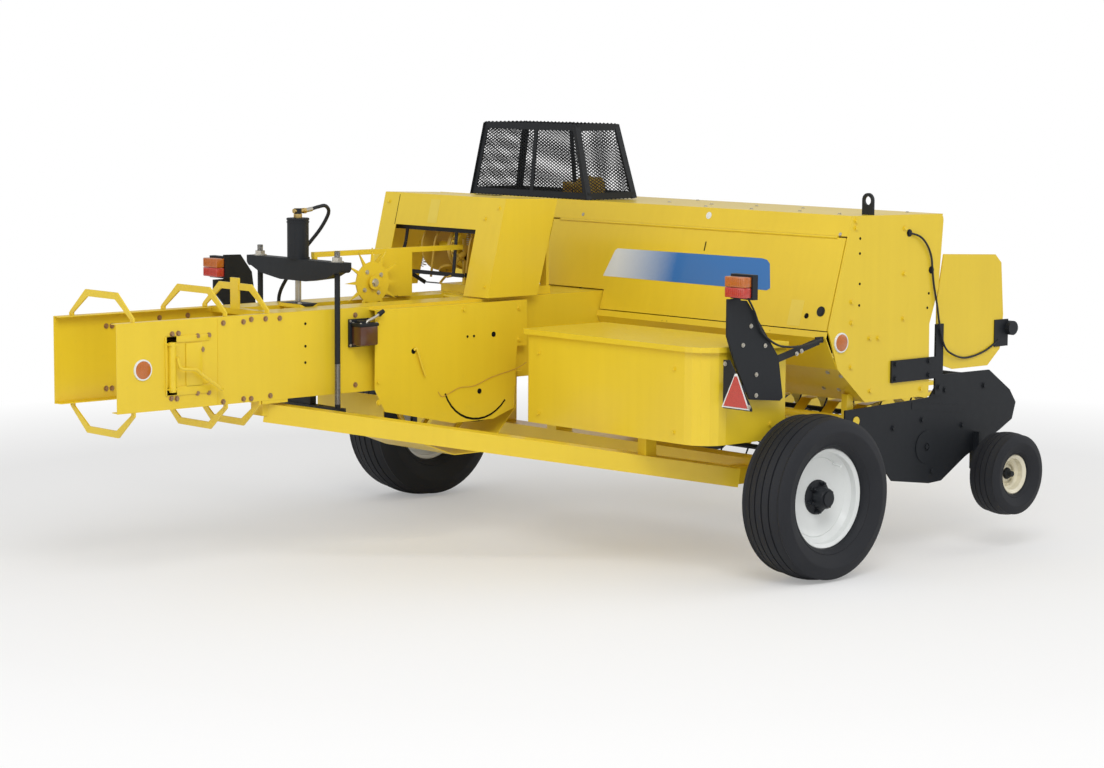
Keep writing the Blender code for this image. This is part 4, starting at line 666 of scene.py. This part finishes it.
for triangle_name, material, slot_name, grow, proud in (("triangle_edge", white, "white_rim", 0.010, 0.0006),
                                                        ("warning_triangle", red, "amber_lens", 0.0, 0.0030)):
    low_z, tall, middle, half = 0.745 - grow * 0.6, 0.124 + grow * 1.7, -1.706, 0.066 + grow * 1.2
    outline = [at(-0.4344, middle - half, low_z), at(-0.4344, middle + half, low_z),
               at(-0.4344, middle + 0.006, low_z + tall), at(-0.4344, middle - 0.006, low_z + tall)]
    bm = bmesh.new()
    add_prism(bm, outline, (-proud, 0, 0))
    piece(triangle_name, bm, material, "frame")

sticker = Finish("pale_to_blue_plate")
spread = sticker.node("ShaderNodeSeparateXYZ", Vector=sticker.where())
share = (Value(sticker.tree, spread.outputs["Y"]) - (chamber_line - 0.66)) * (1 / 0.38)
grain = sticker.noise(60.0, 3.0)
colours = sticker.blend((share + (grain - 0.5) * 0.06).clamped(), (0.018, 0.150, 0.460),
                        (0.720, 0.760, 0.770))
sticker.set(Base_Color=colours, Roughness=grain * 0.1 + 0.28, Coat_Weight=0.4, Coat_Roughness=0.08)
bm = bmesh.new()
outline = [(-0.211, 1.151), (-1.230, 1.150), (-1.248, 1.160), (-1.216, 1.262), (-1.196, 1.277),
           (-1.164, 1.282),
           (-0.268, 1.277), (-0.254, 1.268)]
add_prism(bm, [at(*on_door(y, z, 0.0002)) for y, z in outline], Vector(DOOR_NORMAL) * 0.0006)
piece("door_plate", bm, sticker.material, "feeder_door")

label = Finish("blank_label")
mottle = label.noise(18.0, 2.0)
label.set(Base_Color=label.blend(mottle, (0.72, 0.54, 0.06), (0.78, 0.60, 0.075)), Roughness=0.45)
bm = bmesh.new()
add_prism(bm, [at(*on_door(y, z, 0.0002)) for y, z in ((-1.386, 1.015), (-1.459, 1.015), (-1.459, 1.122),
                                                       (-1.386, 1.122))], Vector(DOOR_NORMAL) * 0.0006)
piece("door_label", bm, label.material, "feeder_door")


def on_hood(y, z, proud=0.0):
    return at(-0.509 + (z - 1.0915) * 0.2485 - proud, y, z + proud * 0.24)


bm = bmesh.new()
add_prism(bm, [on_hood(y, z, 0.0002) for y, z in ((0.227, 1.396), (0.162, 1.396), (0.162, 1.500),
                                                  (0.227, 1.500))],
          (-0.0006, 0, 0.00015))
piece("hood_label", bm, label.material, "knotter_hood")

door_faces = [(on_door(y, z, 0.0002), DOOR_NORMAL) for y, z in ((-0.082, 1.080), (-1.487, 1.060))]
fasteners("door_plugs", door_faces, "feeder_door", hole_shade_and_plug_black, "black_paint", 0.0120, 0.0008, sides=20)
fasteners("door_grommet", [(on_door(-1.562, 1.083, 0.0002), DOOR_NORMAL)], "feeder_door", black,
          "black_paint",
          0.0150, 0.0050, 0.0220, 0.0025, 24)
fasteners("roof_band_screws", [(on_door(y, z, 0.0002), DOOR_NORMAL) for y,
                               z in ((0.008, 1.418), (-1.579, 1.404))],
          "frame", zinc, "steel", 0.0055, 0.0040, 0.0080)
fasteners("roof_band_ring", [(on_door(-0.794, 1.448, 0.0002), DOOR_NORMAL)], "frame", white, "white_rim",
          0.0100, 0.0022, 0.0160, 0.0014, 20)
# A dark slit on the door: painted shade in the gap.
bm = bmesh.new()
add_prism(bm, [at(*on_door(y, z, 0.0002)) for y, z in ((-0.808, 1.295), (-0.814, 1.295), (-0.814, 1.335),
                                                       (-0.808, 1.335))], Vector(DOOR_NORMAL) * 0.0008)
piece("door_slit", bm, hole_shade_and_plug_black, "feeder_door")


# ------------------------------------------------------------------ road lamps
# Two-colour lamps with moulded ridges, amber over red, screwed in black housings; a cable
# runs from each lamp along its bracket. The front marker lamp has a clear lens.
def ridged_lens(name, cad, share_low, share_high, material, body, stands_for):
    low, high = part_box(cad)
    tall = high.z - low.z
    bm = bmesh.new()
    add_box(bm, (low.x + 0.003, low.y, low.z + tall * share_low), (high.x, high.y, low.z + tall * share_high),
            edge=0.004)
    ridges = 9
    for ridge in range(ridges):
        y = low.y + (high.y - low.y) * (ridge + 1) / (ridges + 1)
        add_rod(bm, (low.x + 0.003, y, low.z + tall * share_low + 0.006),
                (low.x + 0.003, y, low.z + tall * share_high - 0.006), 0.0024, 8)
    piece(name, bm, material, body, stands_for)


for side in ("right", "left"):
    ridged_lens(side + "_amber_lens", side + "_lamp", 0.50, 1.0, amber, "frame", [side + "_lamp"])
    ridged_lens(side + "_red_lens", side + "_lamp", 0.0, 0.49, red, "frame", ())
right_board = -1.6565
fasteners("lamp_board_bolts",
          on_wall(((-0.300, 1.060), (-0.345, 0.985), (-0.215, 0.975), (-0.265, 0.860), (-0.265, 0.775)),
                  right_board)
          + [((-0.030, -1.6605, 0.930), RIGHT), ((0.010, -1.6505, 0.938), RIGHT)]
          + [((-0.4345, y, z), REAR) for y, z in ((-1.645, 0.915), (-1.780, 0.752))],
          "frame", zinc, "steel", 0.0060, 0.0065, 0.0095)
hose_rubber = rubber("hose_rubber", (0.010, 0.011, 0.013), 0.48)
lamp_cable = rounded(((-0.340, -1.662, 1.195), (-0.290, -1.664, 1.120), (-0.250, -1.664, 1.040),
                      (-0.208, -1.664, 1.004), (-0.147, -1.664, 0.973), (-0.085, -1.663, 0.962),
                      (-0.030, -1.659, 0.959), (0.060, -1.645, 0.962), (0.150, -1.632, 0.975)))
wing_cable = rounded(((0.704, -1.630, 1.398), (0.756, -1.642, 1.382), (0.805, -1.640, 1.346),
                      (0.841, -1.636, 1.292),
                      (0.853, -1.634, 1.233), (0.865, -1.634, 1.166), (0.885, -1.638, 1.077),
                      (0.896, -1.643, 1.001),
                      (0.930, -1.643, 0.905), (0.985, -1.640, 0.862),
                      (1.100, -1.626, 0.835), (1.230, -1.624, 0.855), (1.330, -1.624, 0.900)))
bent_rods("lamp_cables", [lamp_cable, wing_cable], 0.0045, "frame", hose_rubber, "black_paint", 10)
fasteners("cable_clips", [((0.704, -1.6262, 1.398), RIGHT), ((0.853, -1.6262, 1.233), RIGHT)], "frame", black,
          "black_paint", 0.0110, 0.0070, 0.0160, 0.0030, 14)
clear = Finish("clear_lens").set(Base_Color=(0.78, 0.80, 0.80), Roughness=0.12, Coat_Weight=0.5)
facet = clear.node("ShaderNodeTexVoronoi", Vector=clear.where(), Scale=180.0)
clear.bump(Value(clear.tree, facet.outputs["Distance"]), 0.4, 0.0010)
bm = bmesh.new()
lamp_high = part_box("front_marker_lamp")[1]
lamp_middle = at(1.4325 - 0.001, -1.6255, 0.950)
add_turned(bm, [(0.0004, 0.0), (0.027, 0.0), (0.027, 0.0006), (0.0004, 0.0009)],
           (lamp_high.x - 0.0010, lamp_middle.y, 0.950), FRONT, 28)
piece("front_lamp_lens", bm, clear.material, "frame")


# ------------------------------------------------------------------ mesh guard
# Expanded steel mesh in a frame of flat bar with a post half-way along, painted black, over
# the feeder drive. The mesh is one lattice of zigzag strands on each of the four sides.
def add_bar(bm, start, end, width, thick, facing):
    """A flat bar from one place to another, its broad side turned to the facing vector."""
    run = (end - start).normalized()
    out = (Vector(facing) - run * run.dot(Vector(facing))).normalized()
    turned = Matrix((run, out.cross(run), out)).transposed().to_4x4()
    add_box(bm, (-(end - start).length / 2, -width / 2, -thick / 2),
            ((end - start).length / 2, width / 2, thick / 2),
            Matrix.Translation((start + end) / 2) @ turned)


GUARD_LOW, GUARD_HIGH = 1.4835, 1.8310
guard_base = ((0.350, 0.005), (0.650, 0.005), (0.650, 0.830), (0.350, 0.830))
guard_top = ((0.340, 0.080), (0.600, 0.080), (0.600, 0.720), (0.340, 0.720))
guard_sides = ((3, 0, REAR), (0, 1, RIGHT), (1, 2, FRONT), (2, 3, LEFT))
CELL_WIDE, CELL_TALL, SIDE_BAR = 0.026, 0.0145, 0.030


def guard_place(one, two, share, rise):
    low_place = Vector(guard_base[one]).lerp(Vector(guard_base[two]), share)
    high_place = Vector(guard_top[one]).lerp(Vector(guard_top[two]), share)
    x, y = low_place.lerp(high_place, rise)
    return at(x, y, GUARD_LOW + (GUARD_HIGH - GUARD_LOW) * rise)


def lattice(one, two, facing):
    """Zigzag strands side by side, stopped where the leaning side ends."""
    base_length = (Vector(guard_base[two]) - Vector(guard_base[one])).length
    rows = int((GUARD_HIGH - GUARD_LOW) / (CELL_TALL / 2))
    strands = []
    for column in range(int(base_length / (CELL_WIDE / 2)) + 1):
        strand = []
        for row in range(rows + 1):
            rise = row / rows
            near, far = guard_place(one, two, 0, rise), guard_place(one, two, 1, rise)
            low_near, low_far = guard_place(one, two, 0, 0), guard_place(one, two, 1, 0)
            along = (low_far - low_near).normalized()
            start = (near - low_near).dot(along)
            length = (far - near).length
            sway = CELL_WIDE / 4 * (1 if (row + column) % 2 else -1)
            reach = column * CELL_WIDE / 2 + sway * 0.92 - start
            if 0 <= reach <= length:
                strand.append(near.lerp(far, reach / length) - Vector(facing) * 0.003)
            else:
                if len(strand) > 1:
                    strands.append(strand)
                strand = []
        if len(strand) > 1:
            strands.append(strand)
    return strands


bent_rods("guard_mesh", [strand for one, two, facing in guard_sides for strand in lattice(one, two, facing)],
          0.0034, "frame", black, "black_paint", 4)
bm = bmesh.new()
for one, two, facing in guard_sides:
    for share_low, share_high, rise_low, rise_high in (
            (0.0, 1.0, 0.045, 0.045), (0.0, 1.0, 0.952, 0.952), (0.015, 0.02, 0.0, 0.985),
                                                       (0.985, 0.98, 0.0, 0.985)):
        add_bar(bm, guard_place(one, two, share_low, rise_low), guard_place(one, two, share_high, rise_high),
                SIDE_BAR, 0.005, facing)
for one, two, facing, low_share, high_share in ((3, 0, REAR, 0.52, 0.575), (1, 2, FRONT, 0.5, 0.5)):
    add_bar(bm, guard_place(one, two, low_share, 0.0), guard_place(one, two, high_share, 1.0), 0.024, 0.005,
            facing)
piece("guard_frame", bm, black, "frame", ["mesh_guard"])

ochre = paint("cast_ochre", (0.52, 0.33, 0.030), (0.36, 0.22, 0.022), (0.22, 0.15, 0.03), 0.45)
bm = bmesh.new()
for y, radius in ((0.100, 0.048), (0.160, 0.052)):
    add_turned(bm, [(0.012, -0.020), (radius, -0.020), (radius, -0.016), (radius - 0.010, -0.008),
                    (radius - 0.010, 0.008), (radius, 0.016), (radius, 0.020), (0.012, 0.020)],
               at(0.480, y, 1.536), (0, 1, 0), 32)
add_rod(bm, at(0.480, 0.070, 1.536), at(0.480, 0.300, 1.536), 0.014, 16)
for y in (0.220, 0.290):
    box_at(bm, (0.455, y - 0.006, 1.4840), (0.505, y + 0.006, 1.556), 0.002)
piece("feeder_drive_pulleys", bm, ochre, "frame")


# ------------------------------------------------------------------ knotters under the hood
# Two cast knotters on one shaft: a toothed cam disc, a twine disc and a bill hook each, with
# springs and twine arms, and a bent black guard frame across the hood's window.
KNOTTER_X, KNOTTER_Z = -0.285, 1.285
bm = bmesh.new()
for y in (-0.105, 0.105):
    add_turned(bm, [(0.060, 0.023), (0.098, 0.023), (0.102, 0.030), (0.102, 0.038), (0.090, 0.040),
                    (0.060, 0.034)],
               at(KNOTTER_X, y, KNOTTER_Z), (0, 1, 0), 36)
    add_turned(bm, [(0.006, -0.006), (0.034, -0.006), (0.038, 0.0), (0.034, 0.006), (0.006, 0.006)],
               at(-0.395, y + 0.030, 1.190), (0.3, 0.5, 0.8), 20)
    add_rod(bm, at(-0.395, y - 0.045, 1.245), at(-0.415, y - 0.030, 1.165), 0.009, 12, 0.006)
    add_rod(bm, at(-0.415, y - 0.030, 1.165), at(-0.440, y - 0.022, 1.158), 0.006, 10, 0.003)
    add_rod(bm, at(-0.360, y - 0.045, 1.260), at(-0.395, y - 0.045, 1.245), 0.014, 12)
    box_at(bm, (-0.365, y - 0.052, 1.170), (-0.340, y - 0.040, 1.330), 0.003)
    box_at(bm, (-0.400, y - 0.052, 1.230), (-0.345, y - 0.040, 1.262), 0.003)
    add_rod(bm, at(-0.350, y - 0.060, 1.330), at(-0.310, y - 0.060, 1.380), 0.008, 10)
add_turned(bm, [(0.020, 0.0), (0.115, 0.0), (0.115, 0.010), (0.020, 0.010)], at(KNOTTER_X, 0.300, KNOTTER_Z),
           (0, 1, 0), 36)
piece("knotter_castings", bm, ochre, "frame")
teeth = [((KNOTTER_X + 0.100 * math.cos(a), y, KNOTTER_Z + 0.100 * math.sin(a)),
          (math.cos(a), 0, math.sin(a)))
         for y in (-0.105, 0.105) for a in (math.tau * k / 30 for k in range(18))]
fasteners("knotter_teeth", teeth, "frame", ochre, "yellow_paint", 0.0060, 0.0100, sides=4)


def coil(start, end, radius, turns, per_turn=12):
    """A spring's wire, as a helix between two places."""
    start, end = at(*start), at(*end)
    axis = (end - start).normalized()
    side = axis.orthogonal().normalized()
    other = axis.cross(side)
    route = []
    for step in range(turns * per_turn + 1):
        angle = math.tau * step / per_turn
        route.append(start.lerp(end, step / (turns * per_turn))
                     + (side * math.cos(angle) + other * math.sin(angle)) * radius)
    return route


bent_rods("knotter_springs", [coil((-0.352, y - 0.070, 1.300), (-0.352, y - 0.070, 1.372), 0.009, 8)
                              for y in (-0.105, 0.105)] + [coil((-0.370, 0.330, 1.190),
                                                                (-0.330, 0.330, 1.330), 0.012, 12)],
          0.0018, "frame", steel, "steel", 6)
bent_rods("twine_arms", [rounded(((-0.300, y + 0.055, 1.250), (-0.350, y + 0.060, 1.180),
                                  (-0.410, y + 0.050, 1.135),
                                  (-0.440, y + 0.020, 1.130))) for y in (-0.105, 0.105)]
          + [rounded(((-0.330, y, 1.380), (-0.385, y, 1.330), (-0.395, y + 0.01, 1.240),
                      (-0.400, y + 0.02, 1.150)))
             for y in (-0.020, 0.220)], 0.0055, "frame", ochre, "yellow_paint")
bm = bmesh.new()
for start, end in (((-0.400, 0.498, 1.367), (-0.400, -0.068, 1.367)),
                   ((-0.420, 0.408, 1.170), (-0.420, -0.010, 1.170)),
                   ((-0.400, 0.404, 1.367), (-0.412, 0.404, 1.300)),
                   ((-0.412, 0.404, 1.300), (-0.430, 0.440, 1.166)),
                   ((-0.400, 0.060, 1.367), (-0.420, 0.060, 1.170))):
    add_bar(bm, at(*start), at(*end), 0.018, 0.004, REAR)
for y in (0.400, -0.015):
    add_bar(bm, at(-0.418, y, 1.175), at(-0.300, y, 1.110), 0.018, 0.004, LEFT)
    add_bar(bm, at(-0.300, y, 1.112), at(-0.300, min(y, 0.200), 1.1125), 0.018, 0.004, UP)
piece("window_frame", bm, black, "frame")

# Dark lines along the hood's seams: painted shade in the gaps between the sheets.
bm = bmesh.new()
add_prism(bm, [on_hood(y, z, 0.0002) for y, z in ((0.4535, 1.379), (0.4505, 1.379), (0.4505, 1.513),
                                                  (0.4535, 1.513))],
          (-0.0006, 0, 0.00015))
box_at(bm, (-0.150, 0.060, 1.5140), (-0.130, 0.230, 1.5152))
piece("hood_seam", bm, hole_shade_and_plug_black, "knotter_hood")
fasteners("hood_bolts", [(tuple(on_hood(y, z, 0.0002) - at(0, 0, 0)), (-0.97, 0, 0.24)) for y, z in (
    (0.520, 1.480), (0.520, 1.200), (-0.240, 1.480), (-0.240, 1.140), (-0.160, 1.430))],
          "knotter_hood", yellow, "yellow_paint", 0.0070, 0.0060, 0.0110)


# ------------------------------------------------------------------ bale density gear
# A crossbeam hung on two threaded ties by nuts, with a hydraulic cylinder whose ground ram
# presses the top rail. A hose feeds it through a brass tee on its cap.
DENSITY_X, TIE_Y, BEAM_HIGH = -1.330, 0.268, 1.285
frame["nodes"]["density_ram"].data.materials[0] = steel
brass = bare_metal("brass_fitting", (0.72, 0.52, 0.20), 0.30)
tie_tops = [((DENSITY_X, side * TIE_Y, BEAM_HIGH + 0.0002), UP) for side in (-1, 1)]
fasteners("tie_nuts", tie_tops, "density_yoke", zinc, "steel", 0.0220, 0.0200, 0.0280, 0.0040)
fasteners("tie_foot_nuts", [((DENSITY_X, side * TIE_Y, 0.6145), (0, 0, -1)) for side in (-1, 1)],
          "density_yoke", zinc, "steel", 0.0200, 0.0180, 0.0260, 0.0040)
bent_rods("tie_threads", [coil((DENSITY_X, side * TIE_Y, low), (DENSITY_X, side * TIE_Y, high), 0.0112,
                               turns, 10)
                          for side in (-1, 1) for low, high,
                          turns in ((1.306, 1.3285, 7), (0.690, 0.860, 42))],
          0.0016, "density_yoke", steel, "steel", 4)
bm = bmesh.new()
for z, radius in ((1.288, 0.0500), (1.452, 0.0485), (1.440, 0.0480)):
    add_turned(bm, [(0.044, -0.003), (radius, -0.003), (radius, 0.003), (0.044, 0.003)], at(DENSITY_X, 0, z),
               UP, 32)
for side in (-1, 1):
    add_rod(bm, at(DENSITY_X - 0.0295, side * 0.303, 1.2625), at(DENSITY_X + 0.0295, side * 0.303, 1.2625),
            0.0215, 24)
piece("cylinder_bands", bm, black, "density_yoke")
bm = bmesh.new()
add_rod(bm, at(DENSITY_X, 0, 1.458), at(DENSITY_X, 0, 1.474), 0.0180, 6)
add_rod(bm, at(DENSITY_X, 0, 1.474), at(DENSITY_X, 0, 1.4970), 0.0120, 14)
add_rod(bm, at(DENSITY_X - 0.022, 0, 1.486), at(DENSITY_X + 0.030, 0, 1.486), 0.0100, 14)
add_rod(bm, at(DENSITY_X + 0.026, 0, 1.486), at(DENSITY_X + 0.040, 0, 1.486), 0.0130, 6)
piece("brass_tee", bm, brass, "density_yoke")
bm = bmesh.new()
add_rod(bm, at(DENSITY_X + 0.038, 0, 1.486), at(DENSITY_X + 0.074, 0.000, 1.492), 0.0095, 14)
piece("hose_ferrule", bm, zinc, "density_yoke")
hose_route = rounded(((DENSITY_X + 0.070, 0, 1.4913), (DENSITY_X + 0.110, 0.002, 1.500),
                      (-1.175, 0.010, 1.502),
                      (-1.140, 0.035, 1.470), (-1.150, 0.080, 1.400), (-1.190, 0.140, 1.310),
                      (-1.225, 0.195, 1.210),
                      (-1.245, 0.238, 1.130), (-1.250, 0.246, 1.070), (-1.250, 0.245, 0.980),
                      (-1.230, 0.242, 0.900)), 5)
bent_rods("density_hose", [hose_route], 0.0078, "density_yoke", hose_rubber, "black_paint", 12)
pad_bolts = [((DENSITY_X + dx, dy, 1.0982), UP) for dx, dy in ((-0.028, -0.045), (0.028, 0.045))]
bm = bmesh.new()
box_at(bm, (DENSITY_X - 0.0445, -0.0745, 1.0865), (DENSITY_X + 0.0445, 0.0745, 1.0988), 0.0015)
piece("ram_pad", bm, black, "top_rail")
fasteners("pad_bolts", pad_bolts, "top_rail", zinc, "steel", 0.0080, 0.0070, 0.0120)


# ------------------------------------------------------------------ oil reservoir
# A small brown moulded tank with a screwed black lid and a steel feed lever with a knob,
# bolted on a backing plate on the chamber's side.
tank_brown = Finish("brown_tank")
cloud = tank_brown.noise(14.0, 3.0)
tank_brown.set(Base_Color=tank_brown.blend(cloud, (0.060, 0.022, 0.012), (0.110, 0.040, 0.018)),
               Roughness=0.22,
               Coat_Weight=0.4, Coat_Roughness=0.08, Subsurface_Weight=0.1)
tank_brown.bump(cloud, 0.05, 0.0010)
bm = bmesh.new()
box_at(bm, (-1.235, -0.3035, 0.930), (-1.140, -0.2410, 1.012), 0.007)
piece("oil_tank", bm, tank_brown.material, "frame", ["oil_reservoir"])
bm = bmesh.new()
box_at(bm, (-1.238, -0.3060, 1.010), (-1.137, -0.2390, 1.0245), 0.004)
box_at(bm, (-1.245, -0.2415, 0.921), (-1.135, -0.2290, 1.0395), 0.002)
add_rod(bm, at(-1.205, -0.272, 1.022), at(-1.205, -0.272, 1.034), 0.020, 20)
add_rod(bm, at(-1.1285, -0.2920, 1.0570), at(-1.1040, -0.2935, 1.0710), 0.0110, 16, 0.0090)
piece("tank_lid", bm, black, "frame")
bent_rods("tank_lever", [rounded(((-1.192, -0.286, 1.020), (-1.185, -0.287, 1.032), (-1.150, -0.290, 1.046),
                                  (-1.122, -0.292, 1.061)), 4)], 0.0062, "frame", zinc, "steel")
fasteners("lid_screws", [((x, y, 1.0245), UP) for x in (-1.230, -1.145) for y in (-0.298, -0.247)]
          + [((-1.2400, -0.2417, 0.930), RIGHT), ((-1.2400, -0.2417, 1.032), RIGHT)], "frame", zinc, "steel",
          0.0042, 0.0030, 0.0056, 0.0010)


# ------------------------------------------------------------------ metering wheel
# A star wheel cut from plate rolls on the bale. Its hub is clamped by a bolt and a collar.
bm = bmesh.new()
for y, radius in ((-0.0205, 0.030), (0.006, 0.040)):
    add_turned(bm, [(0.004, 0.0), (radius, 0.0), (radius, 0.006), (0.004, 0.006)], at(-0.930, y, 1.165),
               (0, 1, 0), 28)
piece("star_hub_flanges", bm, yellow, "star_wheel")
fasteners("star_bolts", [((-0.930, -0.0205, 1.165), RIGHT)], "star_wheel", zinc, "steel", 0.0130, 0.0100,
          0.0180)
fasteners("star_plate_bolts", [((-0.930 + 0.055 * math.cos(a), -0.0041, 1.165 + 0.055 * math.sin(a)), RIGHT)
                               for a in (math.tau * k / 4 + 0.6 for k in range(4))],
          "star_wheel", zinc, "steel", 0.0070, 0.0060, 0.0100)


# ------------------------------------------------------------------ right end of the feeder
# Black brackets and the pickup's side plate are bolted up with large heads; the pickup plate
# has a lapped seam.
fasteners("bracket_bolts", on_wall(((0.620, 0.840), (0.620, 0.778), (0.840, 0.840), (0.840, 0.778),
                                    (0.910, 0.960),
                                    (0.910, 0.720)), -1.6365), "frame", black, "black_paint", 0.0100, 0.0080,
          0.0150)
fasteners("pickup_plate_bolts", on_wall(((0.831, 0.581), (1.104, 0.536), (0.640, 0.560), (0.980, 0.700),
                                         (1.250, 0.700),
                                         (0.860, 0.460), (0.900, 0.350)), -1.6122),
          "pickup", black, "black_paint", 0.0110, 0.0080, 0.0160)
bm = bmesh.new()
add_bar(bm, at(0.759, -1.6130, 0.647), at(1.101, -1.6130, 0.608), 0.030, 0.0016, RIGHT)
add_turned(bm, [(0.018, 0.0), (0.070, 0.0), (0.070, 0.004), (0.018, 0.004)], at(0.860, -1.6160, 0.460),
           (0, 1, 0), 32)
piece("pickup_seam", bm, black, "pickup")


# ------------------------------------------------------------------ twine box
# A folded steel box, riveted at its corners, with a shallow lid hinged along its front.
fasteners("box_bolts", [((-0.5003, y, z), REAR) for y in (-1.420, -0.600) for z in (0.620, 0.880)]
          + on_wall(((-0.120, 0.640), (-0.120, 0.880)), -1.6003), "frame", yellow, "yellow_paint", 0.0080,
          0.0070, 0.0120)


# ------------------------------------------------------------------ hitch and drive
# Bolt heads on the drawbar's pivot, the gearbox and the flywheel's hub cap.
fasteners("drawbar_bolts", [((x, side * 0.0601, 0.430), (0, side, 0)) for x in (1.300, 1.700, 2.300, 2.660)
                            for side in (-1, 1)], "drawbar", zinc, "steel", 0.0120, 0.0100, 0.0180)
fasteners("gearbox_bolts", [((x, side * 0.1601, z), (0, side, 0)) for x in (1.330, 1.450, 1.570)
                            for z in (0.710, 1.050)
                            for side in (-1, 1)], "frame", zinc, "steel", 0.0100, 0.0090, 0.0150)
fasteners("hub_cap_bolts", [((1.7722, 0.110 * math.cos(a), 0.880 + 0.110 * math.sin(a)), FRONT)
                            for a in (math.tau * k / 6 for k in range(6))], "flywheel", zinc, "steel",
          0.0110, 0.0090, 0.0150)


# ------------------------------------------------------------------ floor and light
# A plain pale floor that runs into a white background, under broad soft lamps. To the camera
# the floor turns white with distance; near the machine it keeps the shadow.
pale = Finish("pale_floor")
pale.set(Base_Color=(0.86, 0.86, 0.86), Roughness=0.8)
ray = pale.node("ShaderNodeLightPath")
length = pale.node("ShaderNodeVectorMath", {"operation": "LENGTH"}, Vector=pale.where())
far = ((Value(pale.tree, length.outputs["Value"]) - 3.6) * 0.45).clamped()
seen = Value(pale.tree, ray.outputs["Is Camera Ray"]) * (far * 0.72 + 0.28)
white_light = pale.node("ShaderNodeEmission", Color=(1.0, 1.0, 1.0), Strength=1.0)
mixed = pale.node("ShaderNodeMixShader", Fac=seen)
pale.tree.links.new(pale.shader.outputs[0], mixed.inputs[1])
pale.tree.links.new(white_light.outputs[0], mixed.inputs[2])
pale.tree.links.new(mixed.outputs[0], pale.tree.nodes["Material Output"].inputs["Surface"])
floor_mesh = bpy.data.meshes.new("floor")
floor_mesh.from_pydata([(-40, -40, 0), (40, -40, 0), (40, 40, 0), (-40, 40, 0)], [], [(0, 1, 2, 3)])
floor_mesh.materials.append(pale.material)
floor = bpy.data.objects.new("floor", floor_mesh)
bpy.context.scene.collection.objects.link(floor)

world = bpy.data.worlds.new("sky")
bpy.context.scene.world = world
world.use_nodes = True
links = world.node_tree.links
lighting = world.node_tree.nodes["Background"]
lighting.inputs["Color"].default_value = (1, 1, 1, 1)
lighting.inputs["Strength"].default_value = 0.62
plain_white = world.node_tree.nodes.new("ShaderNodeBackground")
plain_white.inputs["Color"].default_value = (1, 1, 1, 1)
plain_white.inputs["Strength"].default_value = 1.0
path = world.node_tree.nodes.new("ShaderNodeLightPath")
choose = world.node_tree.nodes.new("ShaderNodeMixShader")
links.new(path.outputs["Is Camera Ray"], choose.inputs[0])
links.new(lighting.outputs[0], choose.inputs[1])
links.new(plain_white.outputs[0], choose.inputs[2])
links.new(choose.outputs[0], world.node_tree.nodes["World Output"].inputs["Surface"])
for lamp_name, place, size, power in (("key", (-5.0, -6.5, 7.5), 5.0, 430.0),
                                      ("fill", (-9.0, 1.5, 4.0), 6.0, 110.0),
                                      ("front", (7.0, -4.0, 5.0), 6.0, 130.0)):
    lamp_data = bpy.data.lights.new(lamp_name, "AREA")
    lamp_data.size = size
    lamp_data.energy = power
    lamp = bpy.data.objects.new(lamp_name, lamp_data)
    bpy.context.scene.collection.objects.link(lamp)
    lamp.location = place
    lamp.rotation_euler = (Vector((0, 0, 0.8)) - Vector(place)).to_track_quat("-Z", "Y").to_euler()

bpy.context.scene.view_settings.view_transform = "Standard"
